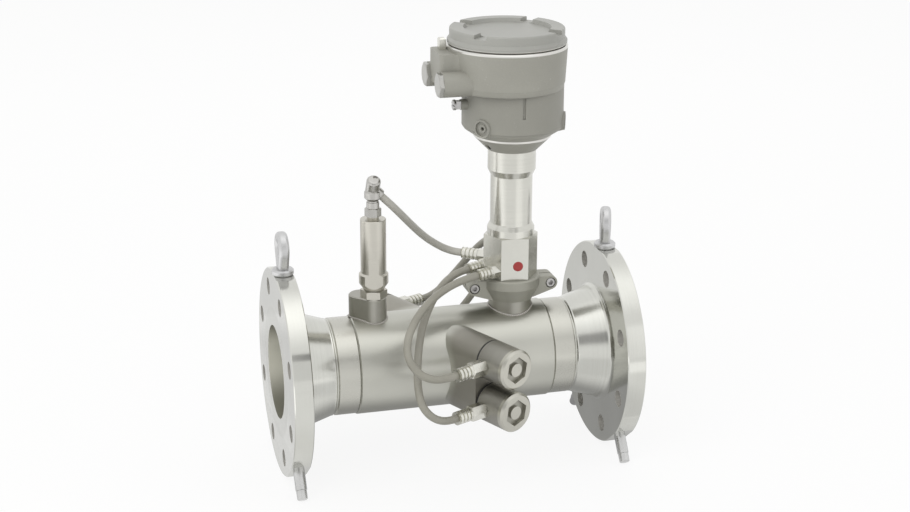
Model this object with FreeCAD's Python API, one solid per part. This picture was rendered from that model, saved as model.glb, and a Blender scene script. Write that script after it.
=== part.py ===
"""Flanged ultrasonic flow meter: measuring tube, two sound paths, neck, transmitter head and pressure cell.

Millimetres.  X runs along the pipe from the inlet flange (-X) to the outlet flange (+X), Z is up,
and the origin is on the pipe axis half way between the flange faces.
"""
import math
import os

import FreeCAD
import Part

# Pipe line
meter_length = 370.0
bore_diameter = 98.0
tube_diameter = 105.0
tube_length = 210.0
spool_diameter = 103.0
tube_edge_bevel = 1.2
seam_bevel = 0.8
weld_groove_width = 3.6
weld_groove_depth = 1.3
weld_root_width = 1.0

# Flanges, with the drilling of a 100 mm line
flange_diameter = 220.0
flange_thickness = 20.0
bolt_circle = 180.0
bolt_hole_diameter = 18.0
bolt_count = 8
hub_diameter = 124.0
hub_cone_length = 33.0
hub_neck_length = 3.0
hub_fillet = 5.0
rim_chamfer = 1.0

# Lifting eyes on flats that are milled across the top of the flange rims
eye_height = 45.0
eye_thickness = 11.0
eye_crown_radius = 17.0
eye_throat_radius = 10.0
eye_throat_height = 11.0
eye_hole_radius = 8.0
eye_hole_foot_radius = 3.0
eye_hole_foot_height = 14.0
eye_edge_radius = 4.0
eye_collar_diameter = 23.0
eye_collar_height = 6.0
eye_collar_bevel = 1.5
eye_relief_height = 1.0
eye_relief_depth = 1.8
eye_shank_diameter = 10.0
eye_shank_length = 14.0
eye_seat_depth = 2.5
outlet_eye_turn = -17.0

# Support pins on flats under the flanges
pin_angle = 37.5
pin_diameter = 12.0
pin_tip_diameter = 11.0
pin_length = 29.5
pin_tip_length = 9.0
pin_tip_bevel = 1.0
pin_groove_width = 0.9
pin_groove_depth = 0.8
pin_seat_depth = 2.0
pin_shank_diameter = 10.0
pin_shank_length = 12.0

# Sound paths: two level paths, one above the other, slanted across the pipe
path_angle = 65.0
path_offset = -11.1
path_spacing = 47.0
sensor_diameter = 42.0
seat_distance = 87.0
seal_gap = 2.2
seal_groove_depth = 1.6
sensor_length = 34.0
sensor_cap_thickness = 6.0
cap_edge_bevel = 2.2
cap_spigot_length = 4.0
cap_hex = 24.5
cap_hex_turn = 45.0
cap_hex_depth = 4.5
cap_button_diameter = 14.0
cap_button_drop = 0.8
port_diameter = 28.0
port_seat_diameter = 35.0
port_seat_depth = 15.0
transducer_recess = 62.0
transducer_bevel = 2.0
seal_sink = 0.4

# Glands of the sensor leads
gland_place = 11.0
gland_hex = 15.0
gland_hex_bevel = 1.0
gland_hex_length = 18.0
gland_stud_diameter = 9.0
gland_stud_length = 6.0
ferrule_diameter = 14.0
ferrule_length = 18.0
ferrule_rings = 4
ferrule_groove_depth = 1.3
gland_seat_depth = 0.8
gland_seat_margin = 2.0
cable_diameter = 8.0

# Neck: stub on the tube, clamp, hexagon block and tube
neck_offset = 69.0
stub_diameter = 45.6
stub_bore = 36.0
stub_height = 20.5
ferrule_flange_diameter = 54.0
ferrule_flange_thickness = 5.0
gasket_thickness = 1.0
block_neck_diameter = 48.0
block_neck_height = 3.0
block_flats = 50.2
block_turn = -6.0
block_height = 46.0
block_bevel = 1.0
block_collar_diameter = 50.0
block_collar_height = 12.4
block_collar_straight = 7.0
block_lip = 0.5
block_bore = 32.0
neck_diameter = 44.0
neck_bore = 36.0
neck_height = 51.6
neck_taper_height = 6.7
neck_top_diameter = 50.4
neck_top_height = 21.3
seal_plug_diameter = 10.6
seal_plug_depth = 2.0
seal_plug_height = 15.5
seal_plug_shift = 3.5
seal_plug_proud = 0.4

# Split clamp round the neck joint
clamp_diameter = 63.0
clamp_foot_diameter = 49.0
clamp_foot_slope = 14.5
clamp_bevel = 1.4
clamp_split = 1.5
clamp_lip = 2.8
clamp_skirt = 11.0
clamp_clearance = 0.2
ear_reach = 42.0
ear_radius = 7.5
ear_rise = 3.2
ear_root_radius = 15.0
ear_root_drop = 6.0
ear_depth = 11.5
clamp_screw_diameter = 6.0
clamp_head_diameter = 10.0
clamp_head_length = 6.0
clamp_head_recess = 6.0
clamp_head_play = 0.6
clamp_head_bevel = 0.6
clamp_socket = 5.0
clamp_socket_depth = 4.0

# Glands on the neck block: shifts along their facets and heights above the block's foot
pressure_gland_shift = 5.0
pressure_gland_height = 18.0
front_upper_gland_shift = 7.0
front_upper_gland_height = 10.0
front_lower_gland_shift = -8.3
front_lower_gland_height = 13.0
rear_gland_shift = 8.0
rear_upper_gland_height = 17.0
rear_lower_gland_height = 10.0
neck_gland_hex = 13.0
neck_gland_hex_length = 9.0
neck_ferrule_length = 18.0
neck_ferrule_diameter = 12.4
neck_stud_diameter = 8.0
neck_stud_length = 5.0

# Transmitter head
head_offset = 62.0
head_gap = 0.3
head_collar_diameter = 53.0
head_ring_diameter = 81.0
head_ring_height = 13.5
head_ring_width = 2.5
head_ring_bevel = 0.6
bowl_height = 24.0
bowl_diameter = 105.4
bowl_corner = 2.0
bowl_floor_slope = 4.0
barrel_step_height = 65.5
barrel_foot_diameter = 120.6
barrel_foot_inset = 2.5
barrel_foot_rise = 7.0
barrel_top_diameter = 124.4
barrel_foot_fillet = 2.5
joint_bevel = 1.3
head_height = 110.7
head_wall = 5.5
head_floor_height = 20.7
neck_spigot_diameter = 44.0
running_clearance = 0.08
retaining_nut_height = 3.0
retaining_nut_width = 4.5
lug_angle = -142.0
lug_count = 3
lug_height = 30.5
lug_radius = 9.4
lug_spread = 5.0
lug_proud = 1.8
lug_recess_diameter = 15.0
lug_recess_depth = 2.4
lug_screw_diameter = 8.6
lug_screw_height = 1.0
lug_hole_diameter = 4.0
lug_hole_depth = 6.0
slot_angle = -94.0
slot_width = 3.0
slot_length = 22.0
slot_depth = 1.5
slot_drop = 1.0

# Cable entries on the side of the head
entry_spacing = 53.0
entry_height = 76.7
entry_boss_diameter = 25.6
entry_proud = 15.5
entry_thread_diameter = 18.0
entry_plug_hex = 23.0
entry_plug_head = 4.6
entry_plug_shank = 14.0
entry_plug_bevel = 1.2
pad_width = 44.0
pad_top_height = 105.7
pad_corner = 4.0
pad_fillet = 9.0
ground_boss_diameter = 11.0
ground_height = 51.0
ground_shift = -8.0
ground_boss_proud = 5.6
ground_clamp_width = 8.0
ground_clamp_length = 5.2
ground_screw_diameter = 11.0
ground_screw_thread = 4.8
ground_screw_depth = 9.0
ground_screw_head = 2.8
ground_slot_width = 1.4
ground_slot_depth = 1.4
lock_screw_diameter = 6.0
lock_screw_length = 7.0
lock_screw_angle = -157.0
lock_screw_height = 5.5
claw_width = 9.0
claw_length = 7.0
claw_height = 12.0
claw_shift = 8.0
claw_gap = 0.8
claw_bevel = 1.2

# Cover, screwed into the head
cover_gap = 0.7
cover_inset = 0.8
cover_band_height = 4.0
cover_band_slope = 3.0
cover_shoulder = 2.4
cover_height = 16.3
cover_edge_radius = 2.0
cover_rim_width = 14.0
cover_rim_height = 4.0
cover_rim_slope = 1.5
cover_notch_width = 14.0
cover_notch_angle = 46.0
cover_notch_count = 4
cover_plate_thickness = 5.0
thread_rim = 5.2
thread_run_out = 2.0
thread_length = 14.0
thread_wall = 5.0
thread_clearance = 0.1
seal_height = 2.4
seal_depth = 2.2
seal_play = 0.3

# Electronics inside the head
module_diameter = 80.0
module_height = 66.0
module_wall = 4.0
module_bevel = 2.0
module_foot_height = 6.0
terminal_length = 56.0
terminal_width = 26.0
terminal_height = 11.0
terminal_groove = 2.0
terminal_count = 6

# Pressure cell on the tube
pressure_x = -80.5
pressure_y = -4.0
boss_radius = 13.3
boss_stretch = 15.8
boss_turn = 135.0
boss_height = 23.5
boss_bevel = 1.2
tap_diameter = 6.0
cell_thread_diameter = 16.0
cell_thread_length = 11.0
pressure_nut_hex = 24.4
pressure_nut_height = 8.5
pressure_nut_bevel = 1.2
pressure_nut_turn = -15.0
nipple_diameter = 19.6
nipple_height = 10.0
collar_diameter = 30.8
collar_height = 17.0
collar_foot_diameter = 23.0
collar_foot_slope = 5.5
collar_bevel = 2.0
wrench_flats = 24.6
wrench_flat_rise = 17.0
wrench_flat_angle = -101.0
cell_diameter = 26.8
cell_height = 57.7
cell_edge = 0.4
cell_neck_diameter = 12.0
cell_neck_height = 3.0
connector_hex = 15.0
connector_hex_bevel = 0.8
connector_hex_height = 9.0
elbow_stem_diameter = 13.4
elbow_stem_height = 20.0
elbow_groove_height = 6.0
elbow_groove_width = 1.5
elbow_groove_depth = 1.0
elbow_body_diameter = 17.4
elbow_body_slope = 3.0
elbow_cap_diameter = 14.8
elbow_cap_height = 13.5
elbow_cap_lean = 30.0
elbow_cap_round = 3.0
elbow_screw_diameter = 5.0
elbow_screw_depth = 1.8
elbow_screw_shift = 2.0
elbow_screw_back = 2.6
elbow_sleeve_diameter = 12.4
elbow_front = 10.4
elbow_lead_play = 0.3
elbow_drop_angle = 44.0

# Clearances shared by pieces that screw or push together
push_clearance = 0.05

origin = FreeCAD.Vector(0, 0, 0)
x_axis = FreeCAD.Vector(1, 0, 0)
y_axis = FreeCAD.Vector(0, 1, 0)
z_axis = FreeCAD.Vector(0, 0, 1)
solids = {}


def point(x, y, z):
    """A point or a direction."""
    return FreeCAD.Vector(x, y, z)


def level_direction(angle):
    """Horizontal unit direction at an angle from +X towards +Y."""
    return point(math.cos(math.radians(angle)), math.sin(math.radians(angle)), 0)


def turned(profile):
    """Solid of revolution about +Z from corner points (radius, height)."""
    corners = [point(radius, 0, height) for radius, height in profile]
    outline = Part.makePolygon(corners + corners[:1])
    return Part.Face(outline).revolve(origin, z_axis, 360)


def rod(diameter, low, high):
    """Round bar along +Z between two heights."""
    return Part.makeCylinder(diameter / 2, high - low, point(0, 0, low))


def hexagon(flats, low, high, turn=0.0):
    """Hexagonal bar along +Z, with a flat towards -Y before it is turned."""
    corner = flats / math.sqrt(3)
    angles = [60 * index + turn for index in range(6)]
    corners = [level_direction(angle) * corner + point(0, 0, low) for angle in angles]
    return Part.Face(Part.makePolygon(corners + corners[:1])).extrude(point(0, 0, high - low))


def chamfered_hexagon(flats, low, high, bevel, turn=0.0):
    """Hexagonal bar whose corners are turned off at the upper end."""
    corner = flats / math.sqrt(3)
    slope = corner - flats / 2
    body = [(0, low), (corner, low), (corner, high - bevel), (corner - 1.6 * slope, high), (0, high)]
    return hexagon(flats, low, high, turn).common(turned(body))


def aimed(shape, place, direction):
    """Copy of a shape built on +Z, turned to a direction and moved to a place."""
    copy = shape.copy()
    copy.Placement = FreeCAD.Placement(place, FreeCAD.Rotation(z_axis, direction))
    return copy


def link(first_radius, first, second_radius, second, push):
    """Prism whose section is two circles with their common tangents."""
    along = second - first
    slant = (first_radius - second_radius) / along.Length
    along.normalize()
    side = along.cross(push)
    side.normalize()
    left = along * slant + side * math.sqrt(1 - slant * slant)
    right = along * slant - side * math.sqrt(1 - slant * slant)
    first_left = first + left * first_radius
    first_right = first + right * first_radius
    second_left = second + left * second_radius
    second_right = second + right * second_radius
    edges = [
        Part.LineSegment(first_left, second_left).toShape(),
        Part.Arc(second_left, second + along * second_radius, second_right).toShape(),
        Part.LineSegment(second_right, first_right).toShape(),
        Part.Arc(first_right, first - along * first_radius, first_left).toShape(),
    ]
    return Part.Face(Part.Wire(edges)).extrude(push)


def circles_at(shape, radius, height, tolerance=1e-3):
    """Round edges of a solid on +Z with a given radius and height."""
    found = []
    for edge in shape.Edges:
        curve = edge.Curve
        if not isinstance(curve, Part.Circle):
            continue
        if abs(curve.Radius - radius) < tolerance and abs(curve.Center.z - height) < tolerance:
            found.append(edge)
    return found


def on_neck(shape, shift=neck_offset):
    """Shape built on +Z, moved onto the neck axis or the head axis."""
    return shape.translated(point(shift, 0, 0))


# Measuring tube with the two slanted sensor bosses
tube_radius = tube_diameter / 2
path_direction = point(math.cos(math.radians(path_angle)), -math.sin(math.radians(path_angle)), 0)
lead_direction = point(-math.sin(math.radians(path_angle)), -math.cos(math.radians(path_angle)), 0)
path_centre = point(path_offset, 0, 0)
path_height = path_spacing / 2
sensor_radius = sensor_diameter / 2


def make_measuring_tube():
    """Bored tube with an obround boss across it and four stepped sensor ports."""
    end = tube_length / 2
    wall = aimed(turned([
        (0, -end),
        (tube_radius - tube_edge_bevel, -end),
        (tube_radius, -end + tube_edge_bevel),
        (tube_radius, end - tube_edge_bevel),
        (tube_radius - tube_edge_bevel, end),
        (0, end),
    ]), origin, x_axis)
    start = path_centre - path_direction * seat_distance
    push = path_direction * (2 * seat_distance)
    low = start - z_axis * path_height
    high = start + z_axis * path_height
    body = wall.fuse(link(sensor_radius, low, sensor_radius, high, push)).removeSplitter()
    bore = Part.makeCylinder(bore_diameter / 2, meter_length, point(-meter_length / 2, 0, 0), x_axis)
    cuts = [bore]
    for height in (path_height, -path_height):
        middle = path_centre + z_axis * height
        mouth = middle - path_direction * seat_distance
        cuts.append(Part.makeCylinder(port_diameter / 2, 2 * seat_distance, mouth, path_direction))
        for way in (path_direction, path_direction * -1):
            floor = middle + way * (seat_distance - port_seat_depth)
            cuts.append(Part.makeCylinder(port_seat_diameter / 2, port_seat_depth, floor, way))
    tap_foot = point(pressure_x, pressure_y, 0)
    cuts.append(Part.makeCylinder(tap_diameter / 2, tube_radius, tap_foot, z_axis))
    return body.cut(cuts)


solids["measuring_tube"] = make_measuring_tube()


# Pipe spools and weld-neck flanges, made at the outlet and turned round for the inlet
hub_length = hub_cone_length + hub_neck_length
weld_place = meter_length / 2 - flange_thickness - hub_length
spool_radius = spool_diameter / 2


def make_spool():
    """Short pipe between the tube and the flange hub, with its half of the weld groove at the hub."""
    inner = bore_diameter / 2
    profile = [
        (inner, tube_length / 2),
        (spool_radius - seam_bevel, tube_length / 2),
        (spool_radius, tube_length / 2 + seam_bevel),
        (spool_radius, weld_place - weld_groove_width / 2),
        (spool_radius - weld_groove_depth, weld_place - weld_root_width / 2),
        (spool_radius - weld_groove_depth, weld_place),
        (inner, weld_place),
    ]
    return aimed(turned(profile), origin, x_axis)


def make_flange():
    """Weld-neck flange with its bolt holes, the eye's seat and the seats of two pins."""
    inner = bore_diameter / 2
    outer = flange_diameter / 2
    face = meter_length / 2
    back = face - flange_thickness
    profile = [
        (inner, face),
        (outer - rim_chamfer, face),
        (outer, face - rim_chamfer),
        (outer, back + rim_chamfer),
        (outer - rim_chamfer, back),
        (hub_diameter / 2, back),
        (spool_radius, back - hub_cone_length),
        (spool_radius, weld_place + weld_groove_width / 2),
        (spool_radius - weld_groove_depth, weld_place + weld_root_width / 2),
        (spool_radius - weld_groove_depth, weld_place),
        (inner, weld_place),
    ]
    body = turned(profile)
    body = body.makeFillet(hub_fillet, circles_at(body, hub_diameter / 2, back))
    body = aimed(body, origin, x_axis)
    cuts = []
    for index in range(bolt_count):
        angle = math.radians((index + 0.5) * 360.0 / bolt_count)
        centre = point(back, bolt_circle / 2 * math.sin(angle), bolt_circle / 2 * math.cos(angle))
        cuts.append(Part.makeCylinder(bolt_hole_diameter / 2, flange_thickness, centre, x_axis))
    seats = [(z_axis, eye_seat_depth, eye_shank_diameter, eye_shank_length)]
    for side in (1, -1):
        seats.append((pin_direction(side), pin_seat_depth, pin_shank_diameter, pin_shank_length))
    middle = point(face - flange_thickness / 2, 0, 0)
    for way, depth, shank, length in seats:
        seat = outer - depth
        corner = point(-flange_thickness, -outer, seat)
        mill = Part.makeBox(2 * flange_thickness, flange_diameter, flange_diameter, corner)
        cuts.append(aimed(mill, middle, way))
        bottom = middle + way * (seat - length)
        cuts.append(Part.makeCylinder(shank / 2 + push_clearance, length, bottom, way))
    return body.cut(cuts)


def pin_direction(side):
    """Outward direction of a support pin on the front (1) or rear (-1) of a flange."""
    angle = math.radians(pin_angle)
    return point(0, -side * math.sin(angle), -math.cos(angle))


def turned_to_inlet(shape):
    """Copy of an outlet piece turned half a turn about the vertical axis."""
    return shape.rotated(origin, z_axis, 180)


spool = make_spool()
flange = make_flange()
solids["outlet_spool"] = spool
solids["inlet_spool"] = turned_to_inlet(spool)
solids["outlet_flange"] = flange
solids["inlet_flange"] = turned_to_inlet(flange)


def make_eyebolt(turn):
    """Forged lifting eye on the rim's flat: shank, relieved collar and a rounded pear-shaped eye."""
    seat = flange_diameter / 2 - eye_seat_depth
    relief = eye_collar_diameter / 2 - eye_relief_depth
    collar = [
        (0, -eye_shank_length),
        (eye_shank_diameter / 2, -eye_shank_length),
        (eye_shank_diameter / 2, 0),
        (relief, 0),
        (relief, eye_relief_height),
        (eye_collar_diameter / 2, eye_relief_height),
        (eye_collar_diameter / 2, eye_collar_height - eye_collar_bevel),
        (eye_collar_diameter / 2 - eye_collar_bevel, eye_collar_height),
        (0, eye_collar_height),
    ]
    side = point(-eye_thickness / 2, 0, 0)
    push = x_axis * eye_thickness
    crown = side + z_axis * (eye_height - eye_crown_radius)
    throat = side + z_axis * eye_throat_height
    hole_foot = side + z_axis * eye_hole_foot_height
    pear = link(eye_crown_radius, crown, eye_throat_radius, throat, push)
    pear = pear.cut(link(eye_hole_radius, crown, eye_hole_foot_radius, hole_foot, push))
    rims = [edge for edge in pear.Edges if abs(abs(edge.CenterOfMass.x) - eye_thickness / 2) < 1e-3]
    pear = pear.makeFillet(eye_edge_radius, rims)
    eye = turned(collar).fuse(pear).removeSplitter()
    eye.rotate(origin, z_axis, turn)
    return eye.translated(point(meter_length / 2 - flange_thickness / 2, 0, seat))


solids["outlet_eyebolt"] = make_eyebolt(outlet_eye_turn)
solids["inlet_eyebolt"] = turned_to_inlet(make_eyebolt(0.0))


def make_pin():
    """Support pin on +Z from its seat: shank below, shaft, a groove and a narrower tip."""
    shank = pin_shank_diameter / 2
    tip = pin_tip_diameter / 2
    shoulder = pin_length - pin_tip_length
    profile = [
        (0, -pin_shank_length),
        (shank, -pin_shank_length),
        (shank, 0),
        (pin_diameter / 2, 0),
        (pin_diameter / 2, shoulder - pin_groove_width),
        (tip - pin_groove_depth, shoulder - pin_groove_width),
        (tip - pin_groove_depth, shoulder),
        (tip, shoulder),
        (tip, pin_length - pin_tip_bevel),
        (tip - pin_tip_bevel, pin_length),
        (0, pin_length),
    ]
    return turned(profile)


def make_support_pins():
    """Four pins, two on each flange, that the meter stands on."""
    pins = []
    for end in (1, -1):
        middle = point(end * (meter_length / 2 - flange_thickness / 2), 0, 0)
        for side in (1, -1):
            way = pin_direction(side)
            pins.append(aimed(make_pin(), middle + way * (flange_diameter / 2 - pin_seat_depth), way))
    return Part.makeCompound(pins)


solids["support_pins"] = make_support_pins()


# Sensors: the front upper one is made, and the other three are its copies
core_diameter = port_diameter - 4 * push_clearance
sensor_top = seat_distance + sensor_length
gland_distance = seat_distance + gland_place
gland_seat = sensor_radius - gland_seat_depth


def sensor_base(distance):
    """Point on the front upper sound path at a distance from the path's middle."""
    return path_centre + path_direction * distance + z_axis * path_height


def make_sensor_housing():
    """Turned housing with a spigot in the port, a seal groove at the seat and a flat for the gland."""
    bore = port_diameter / 2
    spigot = port_seat_diameter / 2 - push_clearance
    groove = sensor_radius - seal_groove_depth
    profile = [
        (bore, -port_seat_depth),
        (spigot, -port_seat_depth),
        (spigot, 0),
        (groove, 0),
        (groove, seal_gap),
        (sensor_radius, seal_gap),
        (sensor_radius, sensor_length),
        (bore, sensor_length),
    ]
    body = aimed(turned(profile), sensor_base(seat_distance), path_direction)
    axis_point = sensor_base(gland_distance)
    seat = axis_point + lead_direction * gland_seat
    flat = Part.makeCylinder(gland_hex / 2 + gland_seat_margin, sensor_radius, seat, lead_direction)
    hole = Part.makeCylinder(
        gland_stud_diameter / 2 + push_clearance, sensor_radius, axis_point, lead_direction)
    return body.cut(flat).cut(hole)


def make_sensor_cap():
    """Screwed end cap with a hexagon recess round a button that stands a little below the face."""
    spigot = port_diameter / 2 - push_clearance
    profile = [
        (0, -cap_spigot_length),
        (spigot, -cap_spigot_length),
        (spigot, 0),
        (sensor_radius, 0),
        (sensor_radius, sensor_cap_thickness - cap_edge_bevel),
        (sensor_radius - cap_edge_bevel, sensor_cap_thickness),
        (0, sensor_cap_thickness),
    ]
    floor = sensor_cap_thickness - cap_hex_depth
    recess = hexagon(cap_hex, floor, sensor_cap_thickness, cap_hex_turn)
    recess = recess.cut(rod(cap_button_diameter, floor, sensor_cap_thickness - cap_button_drop))
    return aimed(turned(profile).cut(recess), sensor_base(sensor_top), path_direction)


def make_transducer():
    """Sound transducer: a core in the port whose face stands back from the bore."""
    top = sensor_length - cap_spigot_length - push_clearance
    foot = transducer_recess - seat_distance
    profile = [
        (0, foot),
        (core_diameter / 2 - transducer_bevel, foot),
        (core_diameter / 2, foot + transducer_bevel),
        (core_diameter / 2, gland_place - gland_stud_diameter),
        (core_diameter / 2 - gland_stud_length, gland_place - gland_stud_diameter),
        (core_diameter / 2 - gland_stud_length, top),
        (0, top),
    ]
    return aimed(turned(profile), sensor_base(seat_distance), path_direction)


def make_gland(hex_size, hex_length, sleeve_diameter, sleeve_length, stud_diameter, stud_length):
    """Cable gland on +Z from its seat: stud, hexagon and a ringed ferrule, solid round the lead."""
    sleeve = sleeve_diameter / 2
    pitch = sleeve_length / ferrule_rings
    outline = [(0, hex_length), (sleeve, hex_length)]
    for ring in range(ferrule_rings):
        low = hex_length + ring * pitch
        outline += [(sleeve, low + 0.62 * pitch), (sleeve - ferrule_groove_depth, low + 0.7 * pitch)]
        outline += [(sleeve - ferrule_groove_depth, low + 0.92 * pitch), (sleeve, low + pitch)]
    outline.append((0, hex_length + sleeve_length))
    body = chamfered_hexagon(hex_size, 0, hex_length, gland_hex_bevel)
    return body.fuse([turned(outline), rod(stud_diameter, -stud_length, 0)]).removeSplitter()


def make_sensor_seal():
    """Dark seal in the groove between the seat and the housing."""
    inner = sensor_radius - seal_groove_depth + push_clearance
    outer = sensor_radius - seal_sink
    profile = [(inner, 0), (outer, 0), (outer, seal_gap), (inner, seal_gap)]
    return aimed(turned(profile), sensor_base(seat_distance), path_direction)


def make_sensor_gland():
    """Gland of the front upper sensor, square to its housing."""
    gland = make_gland(
        gland_hex, gland_hex_length, ferrule_diameter, ferrule_length, gland_stud_diameter, gland_stud_length)
    return aimed(gland, sensor_base(gland_distance) + lead_direction * gland_seat, lead_direction)


sensor_places = {
    "front_upper": (0, 0),
    "front_lower": (0, -path_spacing),
    "rear_upper": (180, 0),
    "rear_lower": (180, -path_spacing),
}


def sensor_copy(shape, place):
    """Copy of a front upper sensor piece at another sensor."""
    half_turn, drop = sensor_places[place]
    return shape.rotated(path_centre, z_axis, half_turn).translated(point(0, 0, drop))


sensor_pieces = {
    "sensor_housing": make_sensor_housing(),
    "sensor_cap": make_sensor_cap(),
    "transducer": make_transducer(),
    "sensor_gland": make_sensor_gland(),
}
for piece_name, piece in sensor_pieces.items():
    for place in sensor_places:
        solids[piece_name + "_" + place] = sensor_copy(piece, place)
seal = make_sensor_seal()
solids["sensor_seals"] = Part.makeCompound([sensor_copy(seal, place) for place in sensor_places])


# Neck stack, from the stub's flange up to the head
stub_flange = tube_radius + stub_height
gasket_level = stub_flange + ferrule_flange_thickness
block_flange = gasket_level + gasket_thickness
block_throat = block_flange + ferrule_flange_thickness
block_foot = block_throat + block_neck_height
block_shoulder = block_foot + block_height
neck_foot = block_shoulder + block_collar_height
taper_foot = neck_foot + neck_height
taper_top = taper_foot + neck_taper_height
neck_top = taper_top + neck_top_height

# Directions in which the facets of the hexagon block look
facet_step = 60.0
rear_facet = block_turn + 90.0
front_facet = rear_facet + 3 * facet_step
rear_left_facet = rear_facet + facet_step
front_left_facet = front_facet - facet_step


def make_neck_stub():
    """Stub pipe cut to the tube's round, with a clamp flange on top."""
    profile = [
        (stub_bore / 2, 0),
        (stub_diameter / 2, 0),
        (stub_diameter / 2, stub_flange),
        (ferrule_flange_diameter / 2, stub_flange),
        (ferrule_flange_diameter / 2, gasket_level),
        (stub_bore / 2, gasket_level),
    ]
    stub = on_neck(turned(profile))
    saddle = Part.makeCylinder(tube_radius, tube_length, point(-tube_length / 2, 0, 0), x_axis)
    return stub.cut(saddle)


def make_neck_block():
    """Hexagon block with a clamp flange below and a turned collar above, drilled for the leads."""
    flange_radius = ferrule_flange_diameter / 2
    throat = block_neck_diameter / 2
    lower = turned([
        (0, block_flange),
        (flange_radius, block_flange),
        (flange_radius, block_throat),
        (throat, block_throat),
        (throat, block_foot),
        (0, block_foot),
    ])
    collar = turned([
        (0, block_foot),
        (block_collar_diameter / 2, block_foot),
        (block_collar_diameter / 2, block_shoulder + block_collar_straight),
        (neck_diameter / 2 + block_lip, neck_foot - block_lip),
        (neck_diameter / 2, neck_foot),
        (0, neck_foot),
    ])
    upper = chamfered_hexagon(block_flats, block_foot, block_shoulder, block_bevel, block_turn)
    bore = rod(block_bore, block_flange, neck_foot)
    block = on_neck(lower.fuse([upper, collar]).removeSplitter().cut(bore))
    holes = []
    for angle, shift, height in neck_gland_places.values():
        seat = neck_gland_seat(angle, shift, height)
        way = level_direction(angle)
        start = seat - way * neck_stud_length
        holes.append(Part.makeCylinder(neck_stud_diameter / 2 + push_clearance, neck_stud_length, start, way))
    way = level_direction(front_facet)
    bottom = seal_plug_seat() - way * seal_plug_depth
    holes.append(Part.makeCylinder(seal_plug_diameter / 2 + push_clearance, seal_plug_depth, bottom, way))
    return block.cut(holes)


neck_gland_places = {
    "pressure": (rear_left_facet, pressure_gland_shift, pressure_gland_height),
    "front_upper": (front_left_facet, front_upper_gland_shift, front_upper_gland_height),
    "front_lower": (front_left_facet, front_lower_gland_shift, front_lower_gland_height),
    "rear_upper": (rear_facet, rear_gland_shift, rear_upper_gland_height),
    "rear_lower": (rear_facet, -rear_gland_shift, rear_lower_gland_height),
}


def neck_gland_seat(angle, shift, height):
    """Point on a facet of the neck block where a gland or plug sits."""
    way = level_direction(angle)
    along = point(-way.y, way.x, 0)
    return point(neck_offset, 0, block_foot + height) + way * (block_flats / 2) + along * shift


def make_neck_glands():
    """The five glands of the neck block, one solid each."""
    gland = make_gland(
        neck_gland_hex, neck_gland_hex_length, neck_ferrule_diameter, neck_ferrule_length,
        neck_stud_diameter, neck_stud_length)
    glands = []
    for angle, shift, height in neck_gland_places.values():
        glands.append(aimed(gland, neck_gland_seat(angle, shift, height), level_direction(angle)))
    return Part.makeCompound(glands)


def seal_plug_seat():
    """Centre of the seal plug on the front facet of the neck block."""
    return neck_gland_seat(front_facet, seal_plug_shift, seal_plug_height)


def make_seal_plug():
    """Small round plug let into the front facet, a little proud of it."""
    profile = [
        (0, -seal_plug_depth),
        (seal_plug_diameter / 2, -seal_plug_depth),
        (seal_plug_diameter / 2, 0),
        (seal_plug_diameter / 2 - seal_plug_proud, seal_plug_proud),
        (0, seal_plug_proud),
    ]
    return aimed(turned(profile), seal_plug_seat(), level_direction(front_facet))


head_foot = neck_top + head_gap
head_floor = head_foot + head_floor_height
nut_foot = head_floor + head_gap
spigot_top = nut_foot + retaining_nut_height


def make_neck_tube():
    """Neck tube with a taper to the wider top, and the spigot that the head turns on."""
    inner = neck_bore / 2
    profile = [
        (inner, neck_foot),
        (neck_diameter / 2, neck_foot),
        (neck_diameter / 2, taper_foot),
        (neck_top_diameter / 2, taper_top),
        (neck_top_diameter / 2, neck_top),
        (neck_spigot_diameter / 2, neck_top),
        (neck_spigot_diameter / 2, spigot_top),
        (inner, spigot_top),
    ]
    return on_neck(turned(profile))


def make_retaining_nut():
    """Ring nut on the spigot's end that keeps the head on the neck."""
    inner = neck_spigot_diameter / 2 + push_clearance
    outer = inner + retaining_nut_width
    return on_neck(turned([(inner, nut_foot), (outer, nut_foot), (outer, spigot_top), (inner, spigot_top)]))


def make_gasket():
    """Flat gasket between the two clamp flanges."""
    inner = stub_bore / 2
    outer = ferrule_flange_diameter / 2
    profile = [(inner, gasket_level), (outer, gasket_level), (outer, block_flange), (inner, block_flange)]
    return on_neck(turned(profile))


solids["neck_stub"] = make_neck_stub()
solids["neck_gasket"] = make_gasket()
solids["neck_block"] = make_neck_block()
solids["neck_glands"] = make_neck_glands()
solids["seal_plug"] = make_seal_plug()
solids["neck_tube"] = make_neck_tube()
solids["retaining_nut"] = make_retaining_nut()


# Split clamp: two halves drawn together by a screw through each pair of ears
clamp_low = stub_flange - clamp_skirt
clamp_high = block_throat + clamp_lip
ear_level = stub_flange + ear_rise


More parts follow.
